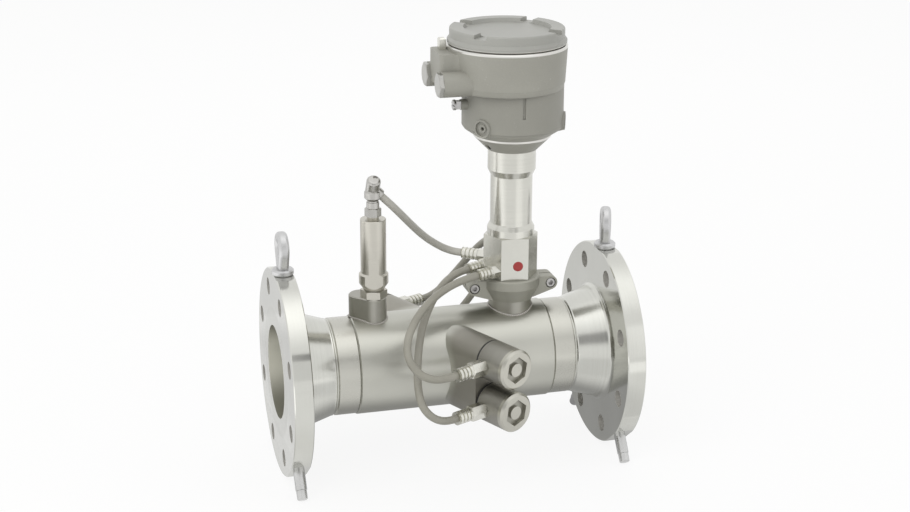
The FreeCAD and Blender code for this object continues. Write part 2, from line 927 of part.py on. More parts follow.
def make_clamp_half(side):
    """Front (1) or rear (-1) half of the clamp with its groove, tapered ears and screw holes."""
    outer = clamp_diameter / 2
    clear = clamp_clearance
    ring = turned([
        (0, clamp_low),
        (clamp_foot_diameter / 2, clamp_low),
        (outer, clamp_low + clamp_foot_slope),
        (outer, clamp_high - clamp_bevel),
        (outer - clamp_bevel, clamp_high),
        (0, clamp_high),
    ])
    front = point(0, -ear_depth, ear_level)
    depth = y_axis * (2 * ear_depth)
    root = front - z_axis * ear_root_drop
    above_foot = rod(4 * ear_reach, clamp_low, clamp_high)
    ears = []
    for reach in (-ear_reach, ear_reach):
        ear = link(ear_root_radius, root, ear_radius, front + x_axis * reach, depth)
        ears.append(ear.common(above_foot))
    groove = rod(ferrule_flange_diameter + 2 * clear, stub_flange - clear, block_throat + clear)
    lower_lip = rod(stub_diameter + 2 * clear, clamp_low, stub_flange)
    upper_lip = rod(block_neck_diameter + 2 * clear, block_throat, clamp_high)
    half_space = Part.makeBox(4 * ear_reach, 2 * ear_reach, 2 * ear_reach)
    edge = clamp_split / 2 if side < 0 else -clamp_split / 2 - 2 * ear_reach
    half_space.translate(point(-2 * ear_reach, edge, ear_level - ear_reach))
    cuts = [groove, lower_lip, upper_lip]
    for reach in (-ear_reach, ear_reach):
        hole = clamp_screw_diameter / 2 + push_clearance
        cuts.append(Part.makeCylinder(hole, 2 * ear_depth, front + x_axis * reach, y_axis))
        head = clamp_head_diameter / 2 + clamp_head_play
        cuts.append(Part.makeCylinder(head, clamp_head_recess, front + x_axis * reach, y_axis))
    return on_neck(ring.fuse(ears).removeSplitter().cut(cuts).common(half_space))


def make_clamp_screws():
    """Two socket-head screws through the ears."""
    shank = clamp_screw_diameter / 2
    head = clamp_head_diameter / 2
    length = 2 * ear_depth - clamp_head_recess
    profile = [
        (0, -length),
        (shank, -length),
        (shank, 0),
        (head, 0),
        (head, clamp_head_length - clamp_head_bevel),
        (head - clamp_head_bevel, clamp_head_length),
        (0, clamp_head_length),
    ]
    socket = hexagon(clamp_socket, clamp_head_length - clamp_socket_depth, clamp_head_length)
    screw = turned(profile).cut(socket)
    screws = []
    for reach in (-ear_reach, ear_reach):
        seat = point(neck_offset + reach, -ear_depth + clamp_head_recess, ear_level)
        screws.append(aimed(screw, seat, y_axis * -1))
    return Part.makeCompound(screws)


solids["neck_clamp_front"] = make_clamp_half(1)
solids["neck_clamp_rear"] = make_clamp_half(-1)
solids["clamp_screws"] = make_clamp_screws()


# Transmitter head: a cast bowl on the neck axis that widens to a barrel on the head axis
barrel_foot = head_foot + barrel_step_height
head_top = head_foot + head_height
bowl_top = head_foot + bowl_height
entry_level = head_foot + entry_height
entry_face = head_offset - barrel_foot_diameter / 2 - entry_proud
entry_depth = entry_proud + barrel_foot_diameter / 4
pad_top = head_foot + pad_top_height
ring_level = head_foot + head_ring_height
ground_level = head_foot + ground_height
ground_face = point(neck_offset - bowl_diameter / 2 - ground_boss_proud, ground_shift, ground_level)
lug_level = head_foot + lug_height
lug_face = bowl_diameter / 2 + lug_proud
thread_bore = barrel_top_diameter / 2 - thread_rim + thread_clearance


def lug_ways():
    """Directions in which the lugs look out from the bowl."""
    return [level_direction(lug_angle + index * 360.0 / lug_count) for index in range(lug_count)]


def make_entry_pad():
    """Upright pad for the entries, rounded at its face and blended to the barrel by hollow fillets."""
    half = pad_width / 2
    barrel_radius = barrel_foot_diameter / 2
    face = -barrel_radius - entry_proud
    blend_y = half + pad_fillet
    blend_x = -math.sqrt((barrel_radius + pad_fillet) ** 2 - blend_y ** 2)
    touch = barrel_radius / (barrel_radius + pad_fillet)
    inner = -barrel_radius / 2
    round_off = pad_corner * (1 - math.sqrt(0.5))
    edges = [Part.LineSegment(point(face, pad_corner - half, 0), point(face, half - pad_corner, 0)).toShape()]
    for side in (1, -1):
        corner = [
            point(face, side * (half - pad_corner), 0),
            point(face + round_off, side * (half - round_off), 0),
            point(face + pad_corner, side * half, 0),
        ]
        foot = point(blend_x, side * half, 0)
        end = point(blend_x * touch, side * blend_y * touch, 0)
        hollow = point(blend_x, side * blend_y, 0)
        chord = (foot + end) * 0.5 - hollow
        chord.normalize()
        edges.append(Part.Arc(*corner).toShape())
        edges.append(Part.LineSegment(corner[2], foot).toShape())
        edges.append(Part.Arc(foot, hollow + chord * pad_fillet, end).toShape())
        edges.append(Part.LineSegment(end, point(inner, end.y, 0)).toShape())
    width = blend_y * touch
    edges.append(Part.LineSegment(point(inner, width, 0), point(inner, -width, 0)).toShape())
    outline = Part.Wire(Part.__sortEdges__(edges))
    low = barrel_foot + barrel_foot_rise
    pad = Part.Face(outline).extrude(point(0, 0, pad_top - low))
    return pad.translated(point(head_offset, 0, low))


def head_outside():
    """Outer casting: collar cone, ring, bowl, barrel, entry pad, entry bosses, lugs and ground boss."""
    bowl = on_neck(turned([
        (0, head_foot),
        (head_collar_diameter / 2, head_foot),
        (head_ring_diameter / 2 - head_ring_bevel, ring_level),
        (head_ring_diameter / 2, ring_level + head_ring_bevel),
        (head_ring_diameter / 2, ring_level + head_ring_width),
        (bowl_diameter / 2 - bowl_corner, bowl_top - bowl_corner / 2),
        (bowl_diameter / 2, bowl_top + bowl_corner),
        (bowl_diameter / 2, barrel_foot + head_wall),
        (0, barrel_foot + head_wall),
    ]))
    barrel_sole = barrel_foot_diameter / 2 - barrel_foot_inset
    barrel = turned([
        (0, barrel_foot),
        (barrel_sole, barrel_foot),
        (barrel_foot_diameter / 2, barrel_foot + barrel_foot_rise),
        (barrel_top_diameter / 2, head_top - joint_bevel),
        (barrel_top_diameter / 2 - joint_bevel, head_top),
        (0, head_top),
    ])
    barrel = barrel.makeFillet(barrel_foot_fillet, circles_at(barrel, barrel_sole, barrel_foot))
    pieces = [on_neck(barrel, head_offset), make_entry_pad()]
    for side in (1, -1):
        mouth = point(entry_face, side * entry_spacing / 2, entry_level)
        pieces.append(Part.makeCylinder(entry_boss_diameter / 2, entry_depth, mouth, x_axis))
    for way in lug_ways():
        depth = 2 * lug_radius
        foot = point(neck_offset, 0, lug_level) + way * (lug_face - depth)
        pieces.append(Part.makeCone(lug_radius + lug_spread, lug_radius, depth, foot, way))
    ground_boss_length = ground_boss_proud + bowl_diameter / 4
    pieces.append(Part.makeCylinder(ground_boss_diameter / 2, ground_boss_length, ground_face, x_axis))
    return bowl.fuse(pieces).removeSplitter()


def head_inside():
    """Hollow of the head: the bowl, the barrel and the bore for the cover's thread, with the neck hole."""
    bowl_radius = bowl_diameter / 2 - head_wall
    floor_radius = head_ring_diameter / 2
    bowl = on_neck(turned([
        (0, head_floor),
        (floor_radius, head_floor),
        (bowl_radius, bowl_top + bowl_floor_slope),
        (bowl_radius, barrel_foot + 2 * head_wall),
        (0, barrel_foot + 2 * head_wall),
    ]))
    thread_foot = head_top - thread_length - thread_run_out
    barrel_radius = barrel_foot_diameter / 2 - head_wall
    barrel = on_neck(turned([
        (0, barrel_foot + head_wall),
        (barrel_radius, barrel_foot + head_wall),
        (barrel_radius, thread_foot - thread_run_out),
        (thread_bore, thread_foot),
        (thread_bore, head_top),
        (0, head_top),
    ]), head_offset)
    neck_hole = on_neck(rod(neck_spigot_diameter + 2 * running_clearance, head_foot, head_floor))
    return bowl.fuse([barrel, neck_hole])


def lock_screw_axis():
    """Foot and direction of the set screw that locks the head on the neck."""
    way = level_direction(lock_screw_angle)
    return point(neck_offset, 0, head_foot + lock_screw_height), way


def make_head():
    """Cast head, hollow, with its threaded entries, lug holes, screw holes and a casting slot."""
    body = head_outside().cut(head_inside())
    cuts = []
    for side in (1, -1):
        mouth = point(entry_face, side * entry_spacing / 2, entry_level)
        cuts.append(Part.makeCylinder(entry_thread_diameter / 2, entry_depth, mouth, x_axis))
    for way in lug_ways():
        axis = point(neck_offset, 0, lug_level)
        well = Part.makeCylinder(
            lug_recess_diameter / 2, lug_recess_depth, axis + way * (lug_face - lug_recess_depth), way)
        screw = Part.makeCylinder(
            lug_screw_diameter / 2, lug_screw_height, axis + way * (lug_face - lug_recess_depth), way)
        cuts.append(well.cut(screw))
        cuts.append(Part.makeCylinder(
            lug_hole_diameter / 2, lug_hole_depth, axis + way * (lug_face - lug_hole_depth), way))
    cuts.append(Part.makeCylinder(
        ground_screw_thread / 2 + push_clearance, ground_screw_depth, ground_face, x_axis))
    axis, way = lock_screw_axis()
    cuts.append(Part.makeCylinder(lock_screw_diameter / 2, bowl_diameter / 2, axis, way))
    slot = Part.makeBox(slot_depth * 2, slot_width, slot_length)
    slot_foot = barrel_foot - slot_length - slot_drop
    slot.translate(point(bowl_diameter / 2 - slot_depth, -slot_width / 2, slot_foot))
    cuts.append(on_neck(slot.rotated(origin, z_axis, slot_angle)))
    return body.cut(cuts)


def make_entry_plug():
    """Hexagon blanking plug on +Z from the entry's face, its shank in the thread."""
    shank = rod(entry_thread_diameter - 2 * push_clearance, -entry_plug_shank, 0)
    head = chamfered_hexagon(entry_plug_hex, 0, entry_plug_head, entry_plug_bevel, 30.0)
    return head.fuse(shank).removeSplitter()


def make_ground_terminal():
    """Outer earth terminal: a slotted screw that draws a square wire clamp against its boss."""
    top = ground_clamp_length + ground_screw_head
    shank = rod(ground_screw_thread, -ground_screw_depth, ground_clamp_length)
    clamp = Part.makeBox(
        ground_clamp_width, ground_clamp_width, ground_clamp_length,
        point(-ground_clamp_width / 2, -ground_clamp_width / 2, 0))
    head = rod(ground_screw_diameter, ground_clamp_length, top)
    head = head.makeChamfer(ground_slot_depth / 2, circles_at(head, ground_screw_diameter / 2, top))
    slot = Part.makeBox(
        ground_slot_width, 2 * ground_screw_diameter, ground_slot_depth,
        point(-ground_slot_width / 2, -ground_screw_diameter, top - ground_slot_depth))
    terminal = shank.fuse([clamp, head.cut(slot)]).removeSplitter()
    return aimed(terminal, ground_face, x_axis * -1)


def make_lock_screw():
    """Set screw in the head's collar cone, its tip just clear of the neck spigot."""
    axis, way = lock_screw_axis()
    start = neck_spigot_diameter / 2 + head_gap
    body = rod(lock_screw_diameter - 2 * push_clearance, start, start + lock_screw_length)
    socket = hexagon(lock_screw_diameter / 2, start + lock_screw_length / 2, start + lock_screw_length)
    return aimed(body.cut(socket), axis, way)


def make_cover_claw():
    """Small claw on the pad beside the cover, turned clear of it."""
    reach = head_offset - barrel_top_diameter / 2 - claw_gap
    block = Part.makeBox(claw_length, claw_width, claw_height)
    block.translate(point(reach - claw_length, claw_shift - claw_width / 2, pad_top))
    tops = [edge for edge in block.Edges if edge.CenterOfMass.z > pad_top + claw_height - 1e-3]
    return block.makeChamfer(claw_bevel, tops)


solids["transmitter_housing"] = make_head()
plug = make_entry_plug()
solids["entry_plug_front"] = aimed(plug, point(entry_face, -entry_spacing / 2, entry_level), x_axis * -1)
solids["entry_plug_rear"] = aimed(plug, point(entry_face, entry_spacing / 2, entry_level), x_axis * -1)
solids["ground_terminal"] = make_ground_terminal()
solids["lock_screw"] = make_lock_screw()
solids["cover_claw"] = make_cover_claw()


def make_electronics():
    """Electronics module standing on the head's floor, hollow at the foot round the neck nut."""
    outer = module_diameter / 2
    top = head_floor + module_height
    profile = [
        (outer - module_wall, head_floor),
        (outer, head_floor),
        (outer, top - module_bevel),
        (outer - module_bevel, top),
        (0, top),
        (0, head_floor + module_foot_height),
        (outer - module_wall, head_floor + module_foot_height),
    ]
    return on_neck(turned(profile))


def make_terminal_block():
    """Terminal block on the module: two stepped rows with a row of screw wells each."""
    top = head_floor + module_height
    body = Part.makeBox(terminal_length, terminal_width, terminal_height)
    body.translate(point(-terminal_length / 2, -terminal_width / 2, top))
    wells = []
    pitch = terminal_length / terminal_count
    for row in (-terminal_width / 4, terminal_width / 4):
        for index in range(terminal_count):
            place = point((index + 0.5) * pitch - terminal_length / 2, row, top + terminal_height / 2)
            wells.append(Part.makeCylinder(pitch / 3, terminal_height, place))
    groove = Part.makeBox(terminal_length, terminal_groove, terminal_height)
    groove.translate(point(-terminal_length / 2, -terminal_groove / 2, top + terminal_height / 2))
    return on_neck(body.cut(wells + [groove]))


solids["electronics_module"] = make_electronics()
solids["terminal_block"] = make_terminal_block()


# Cover: a notched cap with a threaded spigot, and its seal
cover_foot = head_top + cover_gap
cover_top = cover_foot + cover_height
cover_radius = barrel_top_diameter / 2 - cover_inset
spigot_radius = barrel_top_diameter / 2 - thread_rim
seal_foot = cover_foot - 2 * cover_gap - seal_height


def make_cover():
    """Cap with a banded skirt, raised rim with notches, sunk centre, hollow spigot and seal groove."""
    plate = cover_top - cover_rim_height
    ceiling = plate - cover_plate_thickness
    rim = cover_radius - cover_shoulder
    groove = spigot_radius - seal_depth - 2 * seal_play
    body = turned([
        (0, ceiling),
        (spigot_radius - thread_wall, ceiling),
        (spigot_radius - thread_wall, cover_foot - thread_length),
        (spigot_radius, cover_foot - thread_length),
        (spigot_radius, seal_foot - seal_play),
        (groove, seal_foot - seal_play),
        (groove, seal_foot + seal_height + seal_play),
        (spigot_radius, seal_foot + seal_height + seal_play),
        (spigot_radius, cover_foot),
        (cover_radius - joint_bevel, cover_foot),
        (cover_radius, cover_foot + joint_bevel),
        (cover_radius, cover_foot + cover_band_height),
        (rim, cover_foot + cover_band_height + cover_band_slope),
        (rim, cover_top),
        (rim - cover_rim_width, cover_top),
        (rim - cover_rim_width - cover_rim_slope, plate),
        (0, plate),
    ])
    body = body.makeFillet(cover_edge_radius, circles_at(body, rim, cover_top))
    notches = []
    for index in range(cover_notch_count):
        notch = Part.makeBox(cover_rim_width * 2, cover_notch_width, cover_rim_height * 2)
        notch.translate(point(rim - cover_rim_width - cover_rim_slope, -cover_notch_width / 2, plate))
        notches.append(notch.rotated(origin, z_axis, cover_notch_angle + index * 360.0 / cover_notch_count))
    return on_neck(body.cut(notches), head_offset)


def make_cover_seal():
    """Sealing ring in the groove of the cover's spigot, with play all round."""
    outer = spigot_radius - seal_play
    inner = outer - seal_depth + seal_play
    profile = [
        (inner, seal_foot),
        (outer, seal_foot),
        (outer, seal_foot + seal_height),
        (inner, seal_foot + seal_height),
    ]
    return on_neck(turned(profile), head_offset)


solids["cover"] = make_cover()
solids["cover_seal"] = make_cover_seal()


# Pressure cell: welded boss, nut, cell body and angled connector, all on one upright axis
pressure_axis = point(pressure_x, pressure_y, 0)
boss_top = tube_radius + boss_height
collar_foot = boss_top + nipple_height
cell_foot = collar_foot + collar_height
cell_top = cell_foot + cell_height
connector_foot = cell_top + cell_neck_height
elbow_foot = connector_foot + connector_hex_height
elbow_level = elbow_foot + elbow_stem_height


def make_pressure_boss():
    """Obround boss cut to the tube's round, drilled down to the pipe and threaded for the cell."""
    far = pressure_axis + level_direction(boss_turn) * boss_stretch
    block = link(boss_radius, pressure_axis, boss_radius, far, z_axis * boss_top)
    rims = [edge for edge in block.Edges if abs(edge.CenterOfMass.z - boss_top) < 1e-3]
    block = block.makeChamfer(boss_bevel, rims)
    saddle = Part.makeCylinder(tube_radius, tube_length, point(-tube_length / 2, 0, 0), x_axis)
    tap = Part.makeCylinder(tap_diameter / 2, boss_top, pressure_axis)
    thread_foot = pressure_axis + z_axis * (boss_top - cell_thread_length)
    thread = Part.makeCylinder(cell_thread_diameter / 2 + push_clearance, cell_thread_length, thread_foot)
    return block.cut([saddle, tap, thread])


def make_pressure_nut():
    """Hexagon lock nut on the boss, round the cell's nipple."""
    nut = chamfered_hexagon(pressure_nut_hex, 0, pressure_nut_height, pressure_nut_bevel, pressure_nut_turn)
    nut = nut.cut(rod(nipple_diameter + 2 * push_clearance, 0, pressure_nut_height))
    return nut.translated(pressure_axis + z_axis * boss_top)


def make_pressure_cell():
    """Turned cell: threaded end, nipple, collar with two wrench flats, body and a neck for the connector."""
    collar = collar_diameter / 2
    body = cell_diameter / 2
    profile = [
        (0, boss_top - cell_thread_length),
        (cell_thread_diameter / 2, boss_top - cell_thread_length),
        (cell_thread_diameter / 2, boss_top),
        (nipple_diameter / 2, boss_top),
        (nipple_diameter / 2, collar_foot),
        (collar_foot_diameter / 2, collar_foot),
        (collar, collar_foot + collar_foot_slope),
        (collar, cell_foot - collar_bevel),
        (body, cell_foot),
        (body, cell_top - cell_edge),
        (body - cell_edge, cell_top),
        (cell_neck_diameter / 2, cell_top),
        (cell_neck_diameter / 2, connector_foot),
        (0, connector_foot),
    ]
    flats = []
    for side in (1, -1):
        flat = Part.makeBox(collar_diameter, collar_diameter, collar_height + wrench_flat_rise)
        flat.translate(point(side * (wrench_flats + collar_diameter) / 2 - collar, -collar, collar_foot))
        flats.append(flat.rotated(origin, z_axis, wrench_flat_angle))
    return turned(profile).cut(flats).translated(pressure_axis)


def make_connector_nut():
    """Hexagon of the angled connector, on the cell's neck."""
    nut = chamfered_hexagon(connector_hex, connector_foot, elbow_foot, connector_hex_bevel, pressure_nut_turn)
    return nut.translated(pressure_axis)


def elbow_frame():
    """Middle of the angled connector and the way its lead leaves."""
    drop = math.radians(elbow_drop_angle)
    return pressure_axis + z_axis * elbow_level, point(math.cos(drop), 0, -math.sin(drop))


def make_elbow():
    """Angled connector: grooved stem, round body, a leaning cap with a sunk screw, and the lead's sleeve."""
    middle, way = elbow_frame()
    stem_radius = elbow_stem_diameter / 2
    body_radius = elbow_body_diameter / 2
    groove = elbow_foot + elbow_groove_height
    shoulder = groove + elbow_groove_width
    stem = turned([
        (0, elbow_foot),
        (stem_radius, elbow_foot),
        (stem_radius, groove),
        (stem_radius - elbow_groove_depth, groove),
        (stem_radius - elbow_groove_depth, shoulder),
        (body_radius, shoulder + elbow_body_slope),
        (body_radius, elbow_level - elbow_body_slope),
        (body_radius - elbow_body_slope, elbow_level),
        (0, elbow_level),
    ]).translated(pressure_axis)
    cap = rod(elbow_cap_diameter, -elbow_body_slope, elbow_cap_height)
    cap = cap.makeFillet(elbow_cap_round, circles_at(cap, elbow_cap_diameter / 2, elbow_cap_height))
    floor = point(elbow_screw_shift, elbow_screw_back, elbow_cap_height - elbow_screw_depth)
    cap = cap.cut(Part.makeCylinder(elbow_screw_diameter / 2, elbow_screw_depth, floor))
    lean = math.radians(elbow_cap_lean)
    cap = aimed(cap, middle, point(0, -math.sin(lean), math.cos(lean)))
    sleeve = aimed(rod(elbow_sleeve_diameter, 0, elbow_front), middle, way)
    lead_room = rod(cable_diameter + 2 * elbow_lead_play, elbow_front, 2 * elbow_front)
    return stem.fuse([cap, sleeve]).removeSplitter().cut(aimed(lead_room, middle, way))


solids["pressure_boss"] = make_pressure_boss()
solids["pressure_nut"] = make_pressure_nut()
solids["pressure_cell"] = make_pressure_cell()
solids["connector_nut"] = make_connector_nut()
solids["elbow_connector"] = make_elbow()


# Leads: each runs from a gland of the neck block, or the angled connector, to its sensor's gland
def neck_lead_end(name):
    """Mouth of a neck gland's ferrule and the way out of it."""
    angle, shift, height = neck_gland_places[name]
    way = level_direction(angle)
    return neck_gland_seat(angle, shift, height) + way * (neck_gland_hex_length + neck_ferrule_length), way


def sensor_lead_end(place):
    """Mouth of a sensor gland's ferrule and the way out of it."""
    reach = gland_seat + gland_hex_length + ferrule_length
    mouth = sensor_base(gland_distance) + lead_direction * reach
    half_turn, drop = sensor_places[place]
    turn = FreeCAD.Rotation(z_axis, half_turn)
    return path_centre + turn.multVec(mouth - path_centre) + z_axis * drop, turn.multVec(lead_direction)


def elbow_lead_end():
    """End of the angled connector's sleeve and the way out of it."""
    middle, way = elbow_frame()
    return middle + way * elbow_front, way


lead_routes = {
    "front_upper": [(-11, -45, 94), (-33, -61, 88), (-51, -78, 79), (-64, -94, 68), (-70.5, -106, 56.5),
                    (-70, -115.5, 45), (-63, -121.5, 34.5), (-51, -123.7, 27)],
    "front_lower": [(-13, -32, 94), (-31, -49, 79), (-44, -66, 62), (-52, -82, 44.5), (-57, -96, 27),
                    (-59, -107, 11), (-58.1, -115.6, -1.6), (-52.4, -119.5, -11.5), (-43.2, -120.3, -19.2)],
    "rear_upper": [(67.5, 86, 97), (62, 102, 84), (53, 113.5, 67), (42.5, 120, 51), (31.5, 122.8, 37.5),
                   (20.5, 121.8, 27.8)],
    "rear_lower": [(85.5, 82, 89), (84, 99, 73), (78, 112, 53), (69, 121, 31), (56.5, 126.5, 10),
                   (41.5, 127.5, -7.5), (25, 124, -19.5)],
    "pressure": [(-51.6, 3.2, 163.2), (-41, 11.6, 151), (-31.3, 19.9, 140), (-22.2, 26.8, 130.2),
                 (-13.5, 31.7, 122), (-5.2, 34.7, 115.5), (2.9, 35.5, 110.2), (10.6, 34.2, 106.7)],
}

# Straight length that each lead runs square out of its first and its last mouth
lead_run_outs = {
    "front_upper": (13.4, 16.3),
    "front_lower": (12.2, 11.0),
    "rear_upper": (13.9, 11.0),
    "rear_lower": (13.1, 12.1),
    "pressure": (13.4, 7.6),
}


def lead_path(stations):
    """Straight runs joined by tangent arcs that take 0.45 of the shorter run at each corner."""
    edges = []
    radii = []
    start = stations[0]
    for index in range(1, len(stations) - 1):
        corner = stations[index]
        back = stations[index - 1] - corner
        ahead = stations[index + 1] - corner
        reach = 0.45 * min(back.Length, ahead.Length)
        back.normalize()
        ahead.normalize()
        half_turn = (math.pi - back.getAngle(ahead)) / 2
        radius = reach / math.tan(half_turn)
        radii.append(radius)
        first = corner + back * reach
        last = corner + ahead * reach
        inward = back + ahead
        inward.normalize()
        crest = corner + inward * (radius / math.cos(half_turn) - radius)
        edges.append(Part.LineSegment(start, first).toShape())
        edges.append(Part.Arc(first, crest, last).toShape())
        start = last
    edges.append(Part.LineSegment(start, stations[-1]).toShape())
    return Part.Wire(edges), radii


def make_lead(name):
    """Round lead along its route, with its length, volume and radii printed."""
    if name == "pressure":
        (start, start_way), (end, end_way) = elbow_lead_end(), neck_lead_end(name)
    else:
        (start, start_way), (end, end_way) = neck_lead_end(name), sensor_lead_end(name)
    run_out, run_in = lead_run_outs[name]
    middle = [point(*place) for place in lead_routes[name]]
    stations = [start, start + start_way * run_out] + middle + [end + end_way * run_in, end]
    path, radii = lead_path(stations)
    section = Part.Wire(Part.makeCircle(cable_diameter / 2, start, start_way))
    lead = path.makePipeShell([section], True, False)
    expected = math.pi * cable_diameter ** 2 / 4 * path.Length
    ratio = lead.Volume / expected
    print("lead %s length %.0f volume ratio %.4f radii" % (name, path.Length, ratio), [round(r) for r in radii])
    return lead


for lead_name in lead_routes:
    solids["lead_" + lead_name] = make_lead(lead_name)


os.makedirs("parts", exist_ok=True)
for name, shape in solids.items():
    shape.exportStep("parts/" + name + ".step")
    print(name, len(shape.Solids), "solid(s)", "%.1f cm3" % (shape.Volume / 1000), "valid", shape.isValid())
print(len(solids), "nodes")
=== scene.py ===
# %% [markdown]
# # A flanged ultrasonic flow meter
# The meter sits in a gas line. Sound runs slantwise across the pipe between pairs of sensors, and the
# transmitter head on the neck turns the difference in travel time into a flow. The CAD frame brings every
# solid at its true size, so this lesson adds what a CAD model lacks: leads that bend, weld beads,
# finishes that show how each surface was made, and a studio to see them in.

# %% Load the frame
import math

import bpy
import numpy as np
from mathutils import Matrix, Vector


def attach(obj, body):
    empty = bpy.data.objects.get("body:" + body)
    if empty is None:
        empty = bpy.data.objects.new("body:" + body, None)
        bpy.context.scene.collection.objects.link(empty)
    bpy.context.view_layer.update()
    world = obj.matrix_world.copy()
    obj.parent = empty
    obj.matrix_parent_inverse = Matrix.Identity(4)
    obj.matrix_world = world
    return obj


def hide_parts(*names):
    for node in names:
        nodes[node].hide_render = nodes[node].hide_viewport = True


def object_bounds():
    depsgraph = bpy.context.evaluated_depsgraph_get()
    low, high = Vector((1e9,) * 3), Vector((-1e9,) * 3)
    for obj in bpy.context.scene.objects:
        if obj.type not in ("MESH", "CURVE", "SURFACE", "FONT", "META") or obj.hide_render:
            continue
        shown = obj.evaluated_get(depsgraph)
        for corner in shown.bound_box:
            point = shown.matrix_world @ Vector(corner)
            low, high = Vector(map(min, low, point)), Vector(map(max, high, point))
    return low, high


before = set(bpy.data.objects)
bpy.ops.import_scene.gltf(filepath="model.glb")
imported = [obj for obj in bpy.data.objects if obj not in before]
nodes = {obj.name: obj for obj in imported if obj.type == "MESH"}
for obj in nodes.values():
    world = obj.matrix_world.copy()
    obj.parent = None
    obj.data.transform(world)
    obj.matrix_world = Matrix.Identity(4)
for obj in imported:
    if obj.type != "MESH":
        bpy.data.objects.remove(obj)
cad_low, cad_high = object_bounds()
print("CAD box", [round(v, 4) for v in cad_low], [round(v, 4) for v in cad_high])

# %% [markdown]
# ## The camera
# A camera can be aimed with a tracking constraint, but then it can't be tilted about its own axis.
# Here its three axes are worked out from compass direction, height angle and roll, and written straight
# into its matrix: right, up, and the way back from the picture.

# %% Camera
CAMERA_PLACE = (-0.44817, -1.66740, 0.69883)
CAMERA_AZIMUTH = 15.306
CAMERA_ELEVATION = 18.776
CAMERA_ROLL = 0.252
CAMERA_LENS = 68.68
CAMERA_SENSOR = 36.0


def camera_axes(azimuth, elevation, roll):
    """Look direction from two angles, level right, up as their cross product, then both rolled."""
    a, e, t = np.radians([azimuth, elevation, roll])
    look = np.array([np.sin(a) * np.cos(e), np.cos(a) * np.cos(e), -np.sin(e)])
    level = np.array([np.cos(a), -np.sin(a), 0.0])
    lift = np.cross(level, look)
    right = np.cos(t) * level + np.sin(t) * lift
    up = -np.sin(t) * level + np.cos(t) * lift
    return right, up, -look


camera = bpy.data.objects.new("camera", bpy.data.cameras.new("camera"))
camera.data.sensor_width = CAMERA_SENSOR
camera.data.lens = CAMERA_LENS
turn = np.eye(4)
turn[:3, :3] = np.stack(camera_axes(CAMERA_AZIMUTH, CAMERA_ELEVATION, CAMERA_ROLL), axis=1)
turn[:3, 3] = CAMERA_PLACE
camera.matrix_world = Matrix(turn.tolist())
bpy.context.scene.collection.objects.link(camera)
bpy.context.scene.camera = camera
print("camera at", CAMERA_PLACE, "lens", CAMERA_LENS)

# %% [markdown]
# ## Leads
# Each lead leaves a gland of the neck block, swings out in an arc and runs square into its sensor's
# gland; the pressure cell's lead sags between two fittings. A mesh tube would need its own bend maths,
# so each lead is a NURBS curve with a round bevel: its control points are the stations of the route, and
# order 3 makes it round the corners as a soft jacket does. Blender adds the radius of a point to the
# curve's box, so the points have the lead's radius, and the bevel is one times that.

# %% Leads
LEAD_DIAMETER = 0.008
LEAD_STEPS = 12
LEAD_ROUNDNESS = 6
LEAD_STATIONS = {
    "front_upper": [(0.0243, -0.0276, 0.097), (0.012, -0.033, 0.097), (-0.011, -0.045, 0.094),
                    (-0.033, -0.061, 0.088), (-0.051, -0.078, 0.079), (-0.064, -0.094, 0.068),
                    (-0.0705, -0.106, 0.0565), (-0.07, -0.1155, 0.045), (-0.063, -0.1215, 0.0345),
                    (-0.051, -0.1237, 0.027), (-0.0354, -0.1195, 0.0235), (-0.0206, -0.1126, 0.0235)],
    "front_lower": [(0.018, -0.0136, 0.1), (0.0069, -0.0186, 0.1), (-0.013, -0.032, 0.094),
                    (-0.031, -0.049, 0.079), (-0.044, -0.066, 0.062), (-0.052, -0.082, 0.0445),
                    (-0.057, -0.096, 0.027), (-0.059, -0.107, 0.011), (-0.0581, -0.1156, -0.0016),
                    (-0.0524, -0.1195, -0.0115), (-0.0432, -0.1203, -0.0192), (-0.0306, -0.1172, -0.0235),
                    (-0.0206, -0.1126, -0.0235)],
    "rear_upper": [(0.0665, 0.0527, 0.104), (0.0679, 0.0665, 0.104), (0.0675, 0.086, 0.097),
                   (0.062, 0.102, 0.084), (0.053, 0.1135, 0.067), (0.0425, 0.12, 0.051),
                   (0.0315, 0.1228, 0.0375), (0.0205, 0.1218, 0.0278), (0.0084, 0.1172, 0.0235),
                   (-0.0016, 0.1126, 0.0235)],
    "rear_lower": [(0.0824, 0.051, 0.097), (0.0838, 0.064, 0.097), (0.0855, 0.082, 0.089),
                   (0.084, 0.099, 0.073), (0.078, 0.112, 0.053), (0.069, 0.121, 0.031),
                   (0.0565, 0.1265, 0.01), (0.0415, 0.1275, -0.0075), (0.025, 0.124, -0.0195),
                   (0.0094, 0.1177, -0.0235), (-0.0016, 0.1126, -0.0235)],
    "pressure": [(-0.073, -0.004, 0.1855), (-0.0634, -0.004, 0.1762), (-0.0516, 0.0032, 0.1632),
                 (-0.041, 0.0116, 0.151), (-0.0313, 0.0199, 0.14), (-0.0222, 0.0268, 0.1302),
                 (-0.0135, 0.0317, 0.122), (-0.0052, 0.0347, 0.1155), (0.0029, 0.0355, 0.1102),
                 (0.0106, 0.0342, 0.1067), (0.0178, 0.031, 0.105), (0.0239, 0.0266, 0.105)],
}


